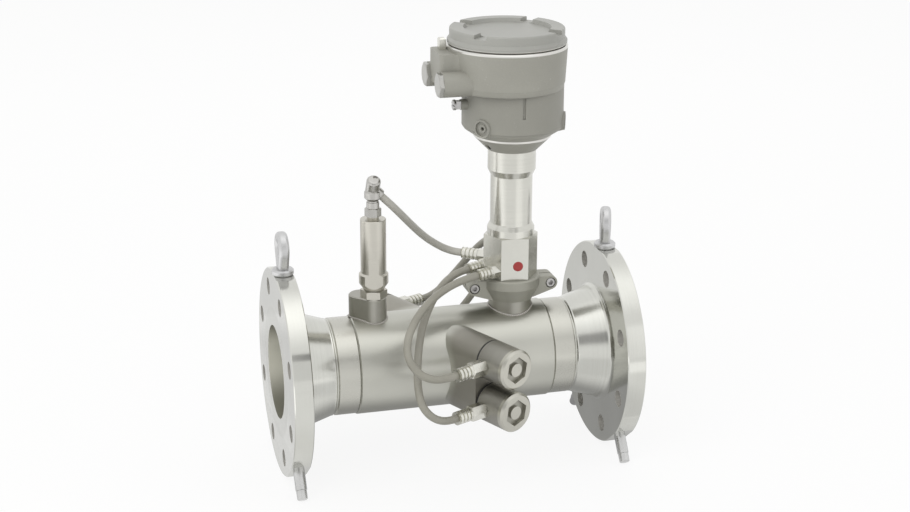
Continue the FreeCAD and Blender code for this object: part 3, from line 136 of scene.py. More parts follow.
def make_lead(name, stations):
    """Open NURBS curve with the route's stations as control points, and a bevel of the lead's radius."""
    curve = bpy.data.curves.new("jacket_" + name, "CURVE")
    curve.dimensions = "3D"
    curve.resolution_u = LEAD_STEPS
    curve.bevel_depth = 1.0
    curve.bevel_resolution = LEAD_ROUNDNESS
    curve.use_fill_caps = True
    spline = curve.splines.new("NURBS")
    spline.points.add(len(stations) - 1)
    points = np.ones((len(stations), 4))
    points[:, :3] = stations
    spline.points.foreach_set("co", points.ravel())
    spline.points.foreach_set("radius", np.full(len(stations), LEAD_DIAMETER / 2))
    spline.order_u = 3
    spline.use_endpoint_u = True
    lead = bpy.data.objects.new("jacket_" + name, curve)
    bpy.context.scene.collection.objects.link(lead)
    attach(lead, "meter")
    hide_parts("lead_" + name)
    return lead


leads = {name: make_lead(name, stations) for name, stations in LEAD_STATIONS.items()}
print("leads", sorted(leads))

# %% [markdown]
# ## Surfaces from arrays
# Every mesh below is a grid: on a bead, one parameter runs along a path and the other round a profile. The
# points are worked out as whole arrays, and the quads come from the grid's own index table, closed where
# the surface joins itself.

# %% Grid surfaces


def grid_mesh(name, points, close_rows=False, close_columns=False):
    """Mesh of quads between neighbouring points of a rows by columns grid, joined at the ends if closed."""
    rows, columns = points.shape[:2]
    index = np.arange(rows * columns).reshape(rows, columns)
    if close_rows:
        index = np.vstack([index, index[:1]])
    if close_columns:
        index = np.hstack([index, index[:, :1]])
    corners = [index[:-1, :-1], index[1:, :-1], index[1:, 1:], index[:-1, 1:]]
    quads = np.stack(corners, axis=-1).reshape(-1, 4)
    mesh = bpy.data.meshes.new(name)
    mesh.from_pydata(points.reshape(-1, 3).tolist(), [], quads.tolist())
    mesh.shade_smooth()
    return mesh


def add_piece(name, mesh, body):
    """Object at the origin that shows a mesh and rides on a body."""
    piece = bpy.data.objects.new(name, mesh)
    bpy.context.scene.collection.objects.link(piece)
    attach(piece, body)
    return piece


print("grid surfaces ready")

# %% [markdown]
# ## Weld beads
# The stub and the pressure boss are welded onto the tube. A bead is laid in overlapping scallops, so its
# thickness swells and shrinks along the seam. A texture could fake it, but the outline of a bead catches
# the light, so it is a real surface: a circle carried along the seam, half sunk in the tube, with the
# scallops as a rectified sine of the distance. The welds at the flange hubs are grooves in the CAD solids.

# %% Weld beads
UPRIGHT = (0.0, 0.0, 1.0)
TUBE_RADIUS = 0.0525
NECK_X = 0.069
STUB_RADIUS = 0.0228
PRESSURE_PLACE = np.array([-0.0805, -0.004])
BOSS_RADIUS = 0.0133
BOSS_STRETCH = 0.0158
BOSS_TURN = 135.0
SHOULDER_SHARPNESS = 12.0
SEAM_GAP = 0.0002
SEAM_STEPS = 320
BEAD_SIDES = 12
SCALLOP_DEPTH = 0.28
SCALLOP_SHARPNESS = 3


def on_tube(plan):
    """Plan outline dropped onto the tube: height is the root of radius squared less y squared."""
    height = np.sqrt(TUBE_RADIUS ** 2 - plan[:, 1] ** 2)
    return np.column_stack([plan, height])


def seam_outline(centre, radius, stretch=0.0, turn=0.0):
    """Circle in plan whose half towards the turned way is pushed along by the stretch, as on a slot."""
    angle = np.linspace(0, 2 * np.pi, SEAM_STEPS, endpoint=False)
    way = np.array([np.cos(np.radians(turn)), np.sin(np.radians(turn))])
    rim = np.stack([np.cos(angle), np.sin(angle)], axis=1)
    push = np.clip(rim @ way * SHOULDER_SHARPNESS, -1, 1) * 0.5 + 0.5
    return centre + radius * rim + push[:, None] * stretch * way


def weld_bead(name, path, size, scallop):
    """Circle carried along a closed path; its radius is size times 1 less a share of a rectified sine."""
    ahead = np.roll(path, -1, axis=0) - np.roll(path, 1, axis=0)
    ahead /= np.linalg.norm(ahead, axis=1, keepdims=True)
    step = np.linalg.norm(np.roll(path, -1, axis=0) - path, axis=1)
    travel = np.concatenate([[0], np.cumsum(step)[:-1]])
    laps = np.round(step.sum() / scallop)
    wave = np.abs(np.sin(np.pi * laps * travel / step.sum()))
    swell = 1 - SCALLOP_DEPTH * wave ** SCALLOP_SHARPNESS
    side = np.cross(ahead, UPRIGHT)
    side /= np.linalg.norm(side, axis=1, keepdims=True)
    rise = np.cross(side, ahead)
    turn = np.linspace(0, 2 * np.pi, BEAD_SIDES, endpoint=False)
    ring = np.cos(turn)[None, :, None] * side[:, None] + np.sin(turn)[None, :, None] * rise[:, None]
    points = path[:, None] + size * swell[:, None, None] * ring
    mesh = grid_mesh(name, points, close_rows=True, close_columns=True)
    return add_piece(name, mesh, "meter")


stub_seam = on_tube(seam_outline(np.array([NECK_X, 0.0]), STUB_RADIUS + SEAM_GAP))
boss_seam = on_tube(seam_outline(PRESSURE_PLACE, BOSS_RADIUS + SEAM_GAP, BOSS_STRETCH, BOSS_TURN))
stub_weld = weld_bead("stub_weld", stub_seam, size=0.0015, scallop=0.0024)
boss_weld = weld_bead("boss_weld", boss_seam, size=0.0011, scallop=0.0022)
print("weld beads", stub_weld.name, boss_weld.name)

# %% [markdown]
# ## Shader maths as Python
# A finish is a small sum of patterns, and wiring it node by node hides the sum. One class wraps an output
# socket: its operators add Math nodes, and its node method adds anything else, so a finish reads like
# the formula that it is.

# %% The signal class


class Signal:
    """An output socket of a material, with Python's operators for its maths."""

    def __init__(self, socket):
        self.socket = socket
        self.tree = socket.id_data

    def node(self, kind, settings=None, inputs=None, output=0):
        """Any other node: its settings first, then the values or links of its sockets; gives one output."""
        new = self.tree.nodes.new(kind)
        for name, value in (settings or {}).items():
            setattr(new, name, value)
        for name, value in (inputs or {}).items():
            if isinstance(value, Signal):
                self.tree.links.new(value.socket, new.inputs[name])
            else:
                new.inputs[name].default_value = value
        return None if output is None else Signal(new.outputs[output])

    def out(self, name):
        """Another output of the same node."""
        return Signal(self.socket.node.outputs[name])

    def maths(self, operation, first, second=0.0):
        """Math node on two values or numbers, of which some operations read only the first."""
        return self.node("ShaderNodeMath", {"operation": operation}, {0: first, 1: second})

    def __add__(self, other):
        return self.maths("ADD", self, other)

    def __radd__(self, other):
        return self.maths("ADD", other, self)

    def __sub__(self, other):
        return self.maths("SUBTRACT", self, other)

    def __rsub__(self, other):
        return self.maths("SUBTRACT", other, self)

    def __mul__(self, other):
        return self.maths("MULTIPLY", self, other)

    def __rmul__(self, other):
        return self.maths("MULTIPLY", other, self)

    def rise(self, low, high):
        """Smooth step: 0 below low, 1 above high."""
        inputs = {"Value": self, "From Min": low, "From Max": high}
        return self.node("ShaderNodeMapRange", {"interpolation_type": "SMOOTHSTEP"}, inputs)

    def noise(self, scale, detail=2.0, rough=0.5):
        """Noise of a coordinate, about 0.5 in the middle."""
        inputs = {"Vector": self, "Scale": scale, "Detail": detail, "Roughness": rough}
        return self.node("ShaderNodeTexNoise", {}, inputs)

    def blend(self, other, share):
        """Weighted sum: this value times its share, plus the other times the rest."""
        return self * share + other * (1 - share)

    def sway(self, amount):
        """A noise about its middle: less a half, times an amount."""
        return (self - 0.5) * amount

    def between(self, first, second):
        """Colour from first to second as this value goes from 0 to 1."""
        inputs = {0: self, 6: first, 7: second}
        return self.node("ShaderNodeMix", {"data_type": "RGBA"}, inputs, 2)

    def vector(self, operation, other, output="Vector"):
        """Vector Math node on two vectors."""
        return self.node("ShaderNodeVectorMath", {"operation": operation}, {0: self, 1: other}, output)


print("signal class ready")

# %% [markdown]
# ## Start and end of a finish
# Every finish starts from Object coordinates. They are metres in the meter's own frame, so a pattern has
# its true scale on every piece and goes with a piece that moves. Every finish ends in one Principled shader
# with a bump: metal, paint and rubber differ in its values, so no other shader is needed.

# %% Start and end of a finish


def start_finish(name):
    """New material and its Object coordinates, which are metres in the meter's own frame."""
    material = bpy.data.materials.new(name)
    material.use_nodes = True
    material.node_tree.nodes.clear()
    coordinates = material.node_tree.nodes.new("ShaderNodeTexCoord")
    return material, Signal(coordinates.outputs["Object"])


def end_finish(material, place, height, depth, strength, **sockets):
    """Principled shader with the given sockets, and a bump from a height signal."""
    inputs = {name.replace("_", " "): value for name, value in sockets.items()}
    bump = {"Height": height, "Strength": strength, "Distance": depth}
    inputs["Normal"] = place.node("ShaderNodeBump", {}, bump)
    shader = place.node("ShaderNodeBsdfPrincipled", {}, inputs)
    place.node("ShaderNodeOutputMaterial", {}, {"Surface": shader}, None)
    return material


def tint(red, green, blue):
    """Colour socket value."""
    return (red, green, blue, 1.0)


print("start and end of a finish ready")

# %% [markdown]
# ## Tool marks
# Flanges, caps, the neck and the pressure cell come off a lathe. A lathe tool leaves fine rings round the
# turning axis: side by side along a cylinder, one inside the other on its end face. A wave texture would be
# too even, so a noise is read at two numbers only, the distance along the axis and the distance from it. It
# can't change round the axis, and that is what makes it look turned.

# %% Tool marks
ORIGIN = (0.0, 0.0, 0.0)
PIPE_AXIS = (1.0, 0.0, 0.0)


def axis_place(place, centre, axis):
    """Distance along an axis, and from it as the root of squared offset less squared distance along."""
    offset = place.vector("SUBTRACT", centre)
    along = offset.vector("DOT_PRODUCT", axis, "Value")
    squared = offset.vector("DOT_PRODUCT", offset, "Value") - along * along
    return along, squared.maths("SQRT", squared.maths("MAXIMUM", squared, 0.0))


def tool_marks(along, away, fine):
    """Noise that changes along the axis and away from it, but not round it."""
    spot = along.node("ShaderNodeCombineXYZ", {}, {"X": along * fine, "Y": away * fine})
    return spot.noise(scale=1.0, detail=3.0, rough=0.6)


print("tool marks ready")

# %% [markdown]
# ## Bore and bolt holes
# A flange is one solid with its bore, its hub and its bolt holes, and the tube and the spools carry the bore
# on. Their faces could be given materials one by one, but that would be lost with each change of the solid.
# So the finish finds these places by their distance from an axis: the lining of the bore is dull, with
# painted shade towards its top and bottom, the holes are darker and rougher than the faces, and the hub has
# a coarser cut.

# %% Bore and bolt holes
WALL_GAP = 0.0001
BORE_RADIUS = 0.049
BORE_FADE = 0.0004
BORE_PALE = tint(0.66, 0.65, 0.56)
BORE_PAINTED_SHADE = tint(0.20, 0.195, 0.155)
BORE_PAINTED_SHADE_HEIGHTS = (0.012, 0.047)
LINING_ROUGHNESS = 0.35
LINING_STREAK = 0.2
LINING_METAL = 0.2


def bored(place, colour, rough):
    """Colour, roughness and metal round the pipe axis: inside, a dull lining with painted shade above and
    below.
    """
    along, away = axis_place(place, ORIGIN, PIPE_AXIS)
    outside = away.rise(BORE_RADIUS + WALL_GAP, BORE_RADIUS + BORE_FADE)
    streaks = tool_marks(along, away, fine=900.0)
    # Painted shade: the lining darkens towards its top and bottom, standing in for the shade inside the
    # bore.
    level = place.node("ShaderNodeSeparateXYZ", {}, {0: place}, "Z")
    painted_lining_shade = level.maths("ABSOLUTE", level).rise(*BORE_PAINTED_SHADE_HEIGHTS)
    lining = painted_lining_shade.between(BORE_PALE, BORE_PAINTED_SHADE)
    dull = rough * outside + (1 - outside) * (streaks * LINING_STREAK + LINING_ROUGHNESS)
    metal = outside * (1 - LINING_METAL) + LINING_METAL
    return outside.between(lining, colour), dull, metal


BOLT_CIRCLE_RADIUS = 0.09
BOLT_HOLE_RADIUS = 0.009
BOLT_COUNT = 8
HOLE_FADE = 0.0003
HOLE_TONE = tint(0.42, 0.41, 0.38)
HOLE_ROUGHNESS = 0.4
HOLE_METAL = 0.2
HUB_REACH = 0.068
HUB_FADE = 0.002
HUB_COARSENESS = 0.09


def drilled(place, colour, rough):
    """Bore, coarser hub and bolt holes.

    The angle is folded into one hole's share, and the cosine rule then gives the distance from that hole.
    """
    colour, rough, metal = bored(place, colour, rough)
    away = axis_place(place, ORIGIN, PIPE_AXIS)[1]
    rough = rough + HUB_COARSENESS * (1 - away.rise(HUB_REACH, HUB_REACH + HUB_FADE))
    across = place.node("ShaderNodeSeparateXYZ", {}, {0: place}, "Y")
    share = math.pi / BOLT_COUNT
    angle = across.maths("ARCTAN2", across.out("Z"), across) + share
    fold = angle.maths("PINGPONG", angle, share)
    reach = away * 2.0 * BOLT_CIRCLE_RADIUS * fold.maths("COSINE", fold)
    squared = away * away + BOLT_CIRCLE_RADIUS ** 2 - reach
    hole = 1 - squared.rise((BOLT_HOLE_RADIUS + WALL_GAP) ** 2, (BOLT_HOLE_RADIUS + HOLE_FADE) ** 2)
    rough = rough * (1 - hole) + hole * HOLE_ROUGHNESS
    return hole.between(colour, HOLE_TONE), rough, metal * (1 - hole * (1 - HOLE_METAL))


print("bore radius", BORE_RADIUS, "with", BOLT_COUNT, "bolt holes")

# %% [markdown]
# ## Turned steel
# A turned face mirrors the room, so its roughness counts for more than its colour. The rings go into the
# roughness and the relief, and a slow drift of tone breaks up the large faces. The flanges are smoothest,
# the neck is less smooth, and the pressure cell is the dullest of the three.

# %% Turned steel
TIGHT_WINDOW = (0.32, 0.68)


def turned_steel(name, centre, axis, light, dark, roughness, fine=1400.0, grip=0.10, inside=None):
    """Metal with tool rings in roughness and relief and a slow drift of tone; inside changes hollows."""
    material, place = start_finish(name)
    along, away = axis_place(place, centre, axis)
    rings = tool_marks(along, away, fine)
    drift = place.noise(scale=22.0, detail=3.0)
    colour = rings.blend(drift, share=0.55).rise(*TIGHT_WINDOW).between(dark, light)
    rough = roughness + rings.sway(grip) + drift.sway(0.08)
    metal = 1.0
    if inside:
        colour, rough, metal = inside(place, colour, rough)
    return end_finish(
        material, place, height=rings, depth=0.00004, strength=0.13,
        Base_Color=colour, Roughness=rough, Metallic=metal)


flange_finish = turned_steel(
    "turned_flange", ORIGIN, PIPE_AXIS, tint(0.66, 0.662, 0.62), tint(0.59, 0.59, 0.548),
    roughness=0.12, grip=0.07, inside=drilled)
neck_finish = turned_steel(
    "turned_neck", (NECK_X, 0.0, 0.0), UPRIGHT, tint(0.66, 0.655, 0.605), tint(0.60, 0.595, 0.547),
    roughness=0.24, fine=1800.0, grip=0.06)
cell_finish = turned_steel(
    "turned_cell", (*PRESSURE_PLACE, 0.0), UPRIGHT, tint(0.59, 0.572, 0.514), tint(0.52, 0.503, 0.449),
    roughness=0.32, fine=1800.0, grip=0.08)
print("turned finishes", flange_finish.name, neck_finish.name, cell_finish.name)

# %% [markdown]
# ## Sensors
# The sensor housings are darker and duller than their caps. Each sensor is turned about its own sound
# path, so one function makes the finish for any path: its centre and its direction are all that change.
# The recess of a cap gets painted shade: the finish darkens with the depth below the cap's face.

# %% Sensor finishes
PATH_ANGLE = math.radians(65.0)
PATH_WAY = (math.cos(PATH_ANGLE), -math.sin(PATH_ANGLE), 0.0)
PATH_MIDDLE = -0.0111
SENSOR_LEVELS = {"upper": 0.0235, "lower": -0.0235}
CAP_FACE = 0.127
CAP_RECESS_RADIUS = 0.0146
RECESS_FADE = 0.0004
RECESS_DEPTHS = (0.0012, 0.0034)
RECESS_PAINTED_SHADE_TONE = tint(0.19, 0.186, 0.163)
RECESS_PAINTED_SHADE_SHARE = 0.40
RECESS_COARSENESS = 0.1


def painted_recess_shade(middle):
    """A change for hollows that paints shade into the recess of a cap: below its face, and near the path."""

    def paint_recess_shade(place, colour, rough):
        along, away = axis_place(place, middle, PATH_WAY)
        deep = CAP_FACE - along.maths("ABSOLUTE", along)
        beside = away.rise(CAP_RECESS_RADIUS, CAP_RECESS_RADIUS + RECESS_FADE)
        # Painted shade: the recess is darkened with its depth, standing in for the shade that falls inside
        # it.
        recess = deep.rise(*RECESS_DEPTHS) * (1 - beside)
        shaded = (recess * RECESS_PAINTED_SHADE_SHARE).between(colour, RECESS_PAINTED_SHADE_TONE)
        return shaded, rough + recess * RECESS_COARSENESS, 1.0

    return paint_recess_shade


sensor_finishes = {}
for level, height_above in SENSOR_LEVELS.items():
    middle = (PATH_MIDDLE, 0.0, height_above)
    sensor_finishes["sensor_housing", level] = turned_steel(
        "sensor_dull_" + level, middle, PATH_WAY, tint(0.385, 0.378, 0.34), tint(0.335, 0.325, 0.292),
        roughness=0.44, fine=1500.0)
    sensor_finishes["sensor_cap", level] = turned_steel(
        "sensor_cap_" + level, middle, PATH_WAY, tint(0.57, 0.56, 0.50), tint(0.49, 0.48, 0.428),
        roughness=0.32, fine=1500.0, grip=0.12, inside=painted_recess_shade(middle))
    sensor_finishes["transducer", level] = turned_steel(
        "transducer_" + level, middle, PATH_WAY, tint(0.62, 0.62, 0.62), tint(0.55, 0.55, 0.55),
        roughness=0.30)
print("sensor finishes", len(sensor_finishes))

# %% [markdown]
# ## Blasted steel
# The tube, its bosses and the stub are bead-blasted: tiny dents all over, without direction, which spread
# the light into a soft sheen. The sensor boss came out darker than the tube. Both live on one solid, so the
# distance from the pipe axis decides which of them shows.

# %% Blasted steel
WIDE_WINDOW = (0.3, 0.7)
BOSS_LIGHT = tint(0.40, 0.387, 0.345)
BOSS_DARK = tint(0.345, 0.333, 0.292)
BOSS_FADE = 0.010
BOSS_COARSENESS = 0.10


def blasted_steel(name, light, dark, roughness, bore=False, metal=1.0):
    """Metal with fine pits in relief and cloudy patches in tone; a bore brings a lining and dark bosses."""
    material, place = start_finish(name)
    pits = place.noise(scale=1800.0, detail=2.0, rough=0.6)
    clouds = place.noise(scale=16.0, detail=4.0, rough=0.55)
    tone = clouds.blend(pits, share=0.7).rise(*WIDE_WINDOW)
    rough = roughness + clouds.sway(0.10) + pits.sway(0.06)
    colour = tone.between(dark, light)
    if bore:
        away = axis_place(place, ORIGIN, PIPE_AXIS)[1]
        boss = away.rise(TUBE_RADIUS, TUBE_RADIUS + BOSS_FADE)
        colour = boss.between(colour, tone.between(BOSS_DARK, BOSS_LIGHT))
        colour, rough, metal = bored(place, colour, rough + boss * BOSS_COARSENESS)
    return end_finish(
        material, place, height=pits, depth=0.00006, strength=0.25,
        Base_Color=colour, Roughness=rough, Metallic=metal)


tube_finish = blasted_steel(
    "blasted_tube", tint(0.55, 0.548, 0.497), tint(0.51, 0.508, 0.459), 0.35, bore=True)
spool_finish = blasted_steel(
    "brushed_spool", tint(0.565, 0.56, 0.51), tint(0.515, 0.51, 0.463), 0.28, bore=True)
boss_finish = blasted_steel("blasted_boss", tint(0.42, 0.412, 0.368), tint(0.36, 0.352, 0.315), 0.40)
clamp_finish = blasted_steel(
    "cast_clamp", tint(0.39, 0.385, 0.335), tint(0.335, 0.33, 0.285), 0.50, metal=0.5)
eye_finish = blasted_steel("tumbled_eye", tint(0.63, 0.63, 0.63), tint(0.56, 0.56, 0.56), 0.42)
weld_finish = blasted_steel("weld_metal", tint(0.53, 0.515, 0.48), tint(0.37, 0.355, 0.33), 0.34)
print("blasted finishes", tube_finish.name, spool_finish.name, boss_finish.name, clamp_finish.name)

# %% [markdown]
# ## Coated castings
# The head and its cover are castings under a matte grey coat. A coat hides the metal, so the finish isn't
# metallic: it is a rough paint with an orange-peel relief. Three bands are cut back to bright metal after
# coating, the ring under the bowl and the two rims where head and cover meet, so there the metal shows. The
# bowl, which hides under the barrel's step, gets painted shade: its coat is darkened there.

# %% Coated castings
RING_BAND = (0.2387, 0.2412)
RIM_BAND = (0.3332, 0.3362)
COVER_BAND = (0.3364, 0.3382)
BOWL_PAINTED_SHADE_BAND = (0.2485, 0.2925)
BOWL_PAINTED_SHADE_TONE = tint(0.19, 0.187, 0.163)
BOWL_PAINTED_SHADE_SHARE = 0.35
BOWL_FADE = 0.002
BAND_TONE = tint(0.68, 0.672, 0.638)
BAND_ROUGHNESS = 0.28
BAND_FADE = 0.0002
SPECK_TONE = tint(0.75, 0.74, 0.70)
SPECK_SHARE = 0.10
SPECK_WINDOW = (0.70, 0.78)


def coated_casting(name, light, dark, roughness, bands=(), dull=(0.0, 0.0)):
    """Matte paint with a fine peel and a drift of tone; bands of bare metal, and a band of painted shade."""
    material, place = start_finish(name)
    peel = place.noise(scale=900.0)
    drift = place.noise(scale=14.0, detail=3.0)
    speck = place.noise(scale=420.0, detail=1.0).rise(*SPECK_WINDOW)
    tone = drift.blend(peel, share=0.75).rise(*WIDE_WINDOW)
    colour = (speck * SPECK_SHARE).between(tone.between(dark, light), SPECK_TONE)
    rough = roughness + peel.sway(0.10)
    metal = 0.0
    level = place.node("ShaderNodeSeparateXYZ", {}, {0: place}, "Z")
    # Painted shade: between the dull heights the bowl under the barrel's step is darkened, standing in for
    # the shade that falls there.
    foot, top = dull
    painted_bowl_shade = level.rise(foot, foot + BOWL_FADE) * (1 - level.rise(top - BOWL_FADE, top))
    colour = (painted_bowl_shade * BOWL_PAINTED_SHADE_SHARE).between(colour, BOWL_PAINTED_SHADE_TONE)
    for low, high in bands:
        band = level.rise(low, low + BAND_FADE) * (1 - level.rise(high, high + BAND_FADE))
        colour = band.between(colour, BAND_TONE)
        rough = rough * (1 - band) + band * BAND_ROUGHNESS
        metal = band + metal
    return end_finish(
        material, place, height=peel, depth=0.00008, strength=0.30,
        Base_Color=colour, Roughness=rough, Metallic=metal)


head_finish = coated_casting(
    "coated_head", tint(0.32, 0.315, 0.276), tint(0.28, 0.275, 0.24), 0.48,
    bands=(RING_BAND, RIM_BAND), dull=BOWL_PAINTED_SHADE_BAND)
cover_finish = coated_casting(
    "coated_cover", tint(0.34, 0.34, 0.313), tint(0.305, 0.305, 0.28), 0.42, bands=(COVER_BAND,))
print("coated finishes", head_finish.name, cover_finish.name)

# %% [markdown]
# ## Small finishes
# Nickel fittings, screws, rubber, plastics and the lead jackets are small on the picture but near the eye
# in a close view, so each still gets its own grain.

# %% Small finishes


def plain_metal(name, light, dark, roughness):
    """Plated or rolled metal: a fine grain and soft stains."""
    material, place = start_finish(name)
    grain = place.noise(scale=1300.0)
    stain = place.noise(scale=60.0, detail=3.0)
    tone = grain.blend(stain, share=0.4).rise(*TIGHT_WINDOW)
    return end_finish(
        material, place, height=grain, depth=0.00003, strength=0.2,
        Base_Color=tone.between(dark, light), Roughness=roughness + stain.sway(0.16), Metallic=1.0)


def moulded(name, light, dark, roughness, grain_scale=700.0):
    """Plastic or rubber: a moulded grain with a slow drift of tone."""
    material, place = start_finish(name)
    grain = place.noise(scale=grain_scale)
    drift = place.noise(scale=35.0, detail=3.0)
    tone = grain.blend(drift, share=0.3).rise(*WIDE_WINDOW)
    return end_finish(
        material, place, height=grain, depth=0.00008, strength=0.25,
        Base_Color=tone.between(dark, light), Roughness=roughness + grain.sway(0.12))


nickel_finish = plain_metal("nickel_plate", tint(0.76, 0.752, 0.69), tint(0.66, 0.652, 0.598), 0.26)
blank_finish = plain_metal("blanking_plug", tint(0.50, 0.496, 0.468), tint(0.42, 0.416, 0.392), 0.30)
screw_finish = plain_metal("screw_steel", tint(0.50, 0.492, 0.484), tint(0.40, 0.392, 0.384), 0.30)
dark_finish = plain_metal("black_screw", tint(0.05, 0.05, 0.05), tint(0.03, 0.03, 0.03), 0.45)
pin_finish = plain_metal("pin_steel", tint(0.65, 0.65, 0.642), tint(0.57, 0.57, 0.562), 0.28)
connector_finish = plain_metal("connector_plate", tint(0.53, 0.522, 0.498), tint(0.42, 0.412, 0.388), 0.28)
rubber_finish = moulded("seal_rubber", tint(0.035, 0.035, 0.035), tint(0.022, 0.022, 0.022), 0.65)
jacket_finish = moulded(
    "lead_jacket", tint(0.30, 0.29, 0.245), tint(0.255, 0.246, 0.207), 0.42, grain_scale=1200.0)
cell_jacket_finish = moulded(
    "cell_jacket", tint(0.46, 0.45, 0.405), tint(0.40, 0.39, 0.35), 0.42, grain_scale=1200.0)
plug_finish = moulded("red_plug", tint(0.36, 0.035, 0.032), tint(0.28, 0.022, 0.022), 0.42)
module_finish = moulded("module_case", tint(0.045, 0.047, 0.05), tint(0.03, 0.032, 0.034), 0.55)
terminal_finish = moulded("terminal_case", tint(0.06, 0.16, 0.09), tint(0.04, 0.12, 0.07), 0.50)
print("small finishes", nickel_finish.name, rubber_finish.name, jacket_finish.name, plug_finish.name)

# %% [markdown]
# ## Dressing the frame
# Each CAD solid keeps its shape and gets the finish of the real piece. One table from node to finish is
# easier to read than a line for each of them, and a loop puts the finish into the object's slot.

# %% Dress the frame
dress = {
    "measuring_tube": tube_finish, "inlet_spool": spool_finish, "outlet_spool": spool_finish,
    "inlet_flange": flange_finish, "outlet_flange": flange_finish,
    "inlet_eyebolt": eye_finish, "outlet_eyebolt": eye_finish, "support_pins": pin_finish,
    "sensor_seals": rubber_finish, "neck_gasket": rubber_finish, "cover_seal": rubber_finish,
    "neck_stub": boss_finish, "pressure_boss": boss_finish, "pressure_nut": cell_finish,
    "neck_clamp_front": clamp_finish, "neck_clamp_rear": clamp_finish, "clamp_screws": screw_finish,
    "neck_block": neck_finish, "neck_tube": neck_finish, "retaining_nut": neck_finish,
    "neck_glands": nickel_finish, "seal_plug": plug_finish,
    "pressure_cell": cell_finish, "connector_nut": connector_finish, "elbow_connector": connector_finish,
    "transmitter_housing": head_finish, "cover_claw": nickel_finish, "cover": cover_finish,
    "entry_plug_front": blank_finish, "entry_plug_rear": blank_finish,
    "ground_terminal": screw_finish, "lock_screw": dark_finish,
    "electronics_module": module_finish, "terminal_block": terminal_finish,
}
for side in ("front", "rear"):
    for level in SENSOR_LEVELS:
        for piece in ("sensor_housing", "sensor_cap", "transducer"):
            dress["_".join([piece, side, level])] = sensor_finishes[piece, level]
        dress["_".join(["sensor_gland", side, level])] = nickel_finish


def put_finish(piece, finish):
    """The finish as the piece's only material."""
    piece.data.materials.clear()
    piece.data.materials.append(finish)


for name, finish in dress.items():
    put_finish(nodes[name], finish)
for name, lead in leads.items():
    put_finish(lead, cell_jacket_finish if name == "pressure" else jacket_finish)
for bead in (stub_weld, boss_weld):
    put_finish(bead, weld_finish)
bare = sorted(name for name in nodes if name not in dress and not name.startswith("lead_"))
print("dressed", len(dress), "nodes; left bare", bare)

# %% [markdown]
# ## Floor and room
# Metal shows what stands round it, so the studio is part of the finish. Floor and room are white wherever
# the camera or a reflection sees them. More light could do that too, but it would bleach the meter. So the
# kind of ray decides: rays that light the meter meet a calm grey, and the floor's paint keeps the shadow.

# %% Floor and room
WHITE = tint(1.0, 1.0, 1.0)
FLOOR_SPAN = 8.0
FLOOR_GLOW_SHARE = 0.88
FLOOR_DARK = tint(0.80, 0.80, 0.79)
FLOOR_LIGHT = tint(0.84, 0.84, 0.83)
SKY_DARK = tint(0.58, 0.58, 0.58)
SKY_LIGHT = tint(0.83, 0.83, 0.83)
SKY_HEIGHTS = (-0.35, 0.55)


def seen_rays(start):
    """1 for the rays that show the background: from the camera, off metal or through something clear."""
    rays = start.node("ShaderNodeLightPath", {}, {}, "Is Camera Ray")
    shown = rays.maths("MAXIMUM", rays, rays.out("Is Glossy Ray"))
    return shown.maths("MAXIMUM", shown, rays.out("Is Transmission Ray"))


def flat_quad(name, centre, side, up):
    """Quad with its middle at a centre: half its width along side, half its height along up."""
    reach = np.array([-1.0, 1.0])
    points = centre + reach[:, None, None] * side + reach[None, :, None] * up
    piece = bpy.data.objects.new(name, grid_mesh(name, points))
    bpy.context.scene.collection.objects.link(piece)
    return piece


def level_sides(width, depth):
    """Half sides of a quad that lies level, along x and along y."""
    return np.array([width, 0.0, 0.0]), np.array([0.0, depth, 0.0])


def floor_finish():
    """White with a little of its shadow where it is seen, and pale paint where it passes light on."""
    material, place = start_finish("studio_floor")
    colour = place.noise(scale=1.5).between(FLOOR_DARK, FLOOR_LIGHT)
    paint = place.node("ShaderNodeBsdfDiffuse", {}, {"Color": colour})
    glow = place.node("ShaderNodeEmission", {}, {"Color": WHITE, "Strength": 1.0})
    share = seen_rays(place) * FLOOR_GLOW_SHARE
    mixed = place.node("ShaderNodeMixShader", {}, {0: share, 1: paint, 2: glow})
    place.node("ShaderNodeOutputMaterial", {}, {"Surface": mixed}, None)
    return material


def make_world():
    """White where it is seen, and as light a calm grey that grows with height."""
    world = bpy.data.worlds.new("studio")
    world.use_nodes = True
    world.node_tree.nodes.clear()
    direction = Signal(world.node_tree.nodes.new("ShaderNodeTexCoord").outputs["Generated"])
    height = direction.node("ShaderNodeSeparateXYZ", {}, {0: direction}, "Z")
    sky = height.rise(*SKY_HEIGHTS).between(SKY_DARK, SKY_LIGHT)
    shown = seen_rays(direction).between(sky, WHITE)
    background = direction.node("ShaderNodeBackground", {}, {"Color": shown, "Strength": 1.0})
    direction.node("ShaderNodeOutputWorld", {}, {"Surface": background}, None)
    bpy.context.scene.world = world


floor_middle = np.array([0.0, 0.0, cad_low[2]])
floor = flat_quad("floor", floor_middle, *level_sides(FLOOR_SPAN / 2, FLOOR_SPAN / 2))
put_finish(floor, floor_finish())
make_world()
print("floor at height", round(float(cad_low[2]), 4))

# %% [markdown]
# ## Cards
# Metal in a room that is white all round looks like plaster. As a photographer would, this studio puts
# cards round the meter: a soft glow overhead, walls in front with a dark place where the camera and its
# boom stand, and mats on the floor, bright at the sides and shaded near the meter. The mats under and in
# front of the meter are painted shadow: they stand in for the meter's shadow on the floor in reflections.
# The cards have soft edges and show in reflections alone, so no view has them in the picture.

# %% Cards
FRONT = -90.0 - CAMERA_AZIMUTH
CARD_AIM = np.array([0.03, 0.0, 0.05])
MAT_LIFT = 0.001


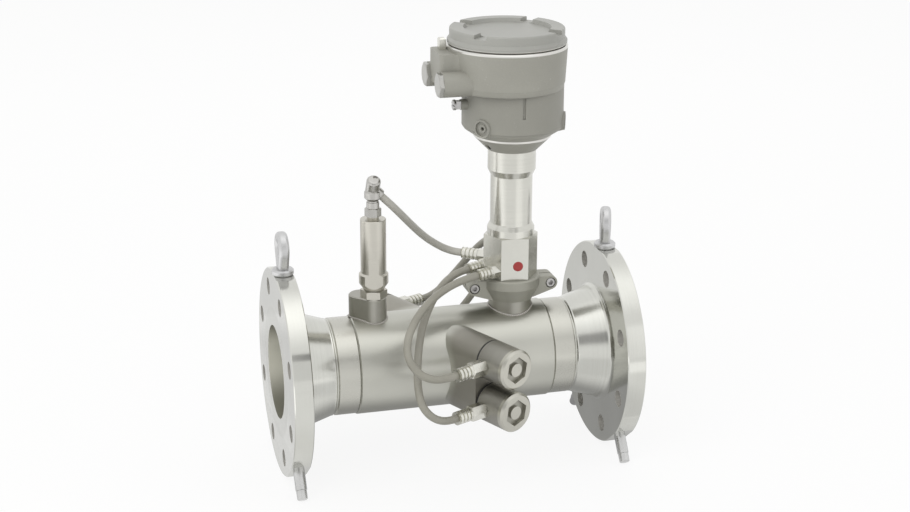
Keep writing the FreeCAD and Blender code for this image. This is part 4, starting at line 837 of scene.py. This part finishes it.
def card_finish(name, tone, centre, side, up, soft):
    """Glow of one tone that thins out to nothing over the soft share of the way from middle to edge."""
    material, place = start_finish(name)
    offset = place.vector("SUBTRACT", tuple(centre))
    cover = 1.0
    for half in (side, up):
        along = offset.vector("DOT_PRODUCT", tuple(half / (half @ half)), "Value")
        cover = cover * (1 - along.maths("ABSOLUTE", along).rise(1 - soft, 1.0))
    clear = place.node("ShaderNodeBsdfTransparent")
    glow = place.node("ShaderNodeEmission", {}, {"Color": WHITE, "Strength": tone})
    mixed = place.node("ShaderNodeMixShader", {}, {0: cover, 1: clear, 2: glow})
    place.node("ShaderNodeOutputMaterial", {}, {"Surface": mixed}, None)
    return material


def mirrored_card(name, tone, centre, side, up, soft):
    """Quad that shows in reflections alone: no other rays see it, and it casts no shadow."""
    piece = flat_quad(name, centre, side, up)
    for rays in ("camera", "diffuse", "transmission", "volume_scatter", "shadow"):
        setattr(piece, "visible_" + rays, False)
    put_finish(piece, card_finish(name, tone, centre, side, up, soft))
    return piece


def card(name, tone, compass, climb, distance, width, height, soft):
    """Card that faces the meter: its centre is the aim plus the distance along two angles' direction."""
    a, e = np.radians([compass, climb])
    out = np.array([np.cos(a) * np.cos(e), np.sin(a) * np.cos(e), np.sin(e)])
    side = np.array([-np.sin(a), np.cos(a), 0.0])
    centre = CARD_AIM + distance * out
    return mirrored_card(name, tone, centre, side * width / 2, np.cross(out, side) * height / 2, soft)


def mat(name, tone, low, high, soft):
    """Card that lies just above the floor: its centre is the mean of two corners."""
    low, high = np.array(low), np.array(high)
    centre = np.append((low + high) / 2, cad_low[2] + MAT_LIFT)
    half = (high - low) / 2
    side, up = level_sides(*half)
    return mirrored_card(name, tone, centre, side, up, soft)


# A card has a tone, compass direction, height angle, distance, width, height and soft share, and a mat a
# tone, two corners and a soft share.
cards = [
    card("overhead_card", 1.60, FRONT + 30, 80, 2.3, 3.9, 3.9, 1.0),
    card("camera_card", 0.36, FRONT, 25.5, 2.3, 0.98, 0.94, 0.1),
    card("boom_card", 0.20, FRONT + 27, 33.3, 2.2, 0.64, 0.33, 0.3),
    card("wall_card", 0.86, FRONT + 13, 19, 2.4, 1.66, 0.90, 0.2),
    card("side_card", 1.16, FRONT + 46, 15, 2.4, 0.80, 1.60, 0.3),
    mat("left_glow", 1.48, (-1.40, -0.60), (-0.36, 0.48), 0.2),
    mat("right_glow", 1.28, (0.16, -1.30), (0.80, -0.40), 0.3),
    mat("left_shade", 0.74, (-0.42, -0.16), (-0.17, 0.46), 0.3),
    mat("back_shade", 0.78, (-0.68, 0.36), (0.26, 1.20), 0.25),
    # Painted shadow: the mats under and in front of the meter stand in for its shadow on the floor, seen in
    # reflections.
    mat("front_painted_shadow", 0.82, (-0.07, -0.46), (0.25, -0.05), 0.3),
    mat("under_painted_shadow", 0.38, (-0.22, -0.11), (0.32, 0.42), 0.38),
]
print("cards", [piece.name for piece in cards])

# %% [markdown]
# ## Lamps
# Three soft boxes give the light: a key at the front left, a weaker one at the right and one behind. Area
# lamps are used because their size sets how soft a shadow is. Reflections see the cards instead of them.

# %% Lamps


def soft_box(name, place, target, size, power):
    """Area lamp at a place, aimed at a target along its own -Z; reflections see the cards instead of it."""
    lamp = bpy.data.lights.new(name, "AREA")
    lamp.shape = "RECTANGLE"
    lamp.size, lamp.size_y = size
    lamp.energy = power
    back = np.array(place, float) - np.array(target, float)
    back /= np.linalg.norm(back)
    right = np.cross(UPRIGHT, back)
    right /= np.linalg.norm(right)
    turn = np.eye(4)
    turn[:3, :3] = np.stack([right, np.cross(back, right), back], axis=1)
    turn[:3, 3] = place
    box = bpy.data.objects.new(name, lamp)
    box.matrix_world = Matrix(turn.tolist())
    box.visible_glossy = False
    bpy.context.scene.collection.objects.link(box)
    return box


# A lamp has a place, a target, a width and height, and a power in watts.
lamps = [
    soft_box("key", (-1.6, -1.5, 1.9), (0, 0, 0.05), (2.0, 2.0), 29),
    soft_box("side", (1.9, -1.0, 1.1), (0, 0, 0.05), (1.2, 2.0), 5),
    soft_box("back", (0.3, 1.8, 1.6), (0, 0, 0.1), (2.0, 1.2), 8),
]
bpy.context.scene.view_settings.view_transform = "Standard"
print("lamps", [lamp.name for lamp in lamps])
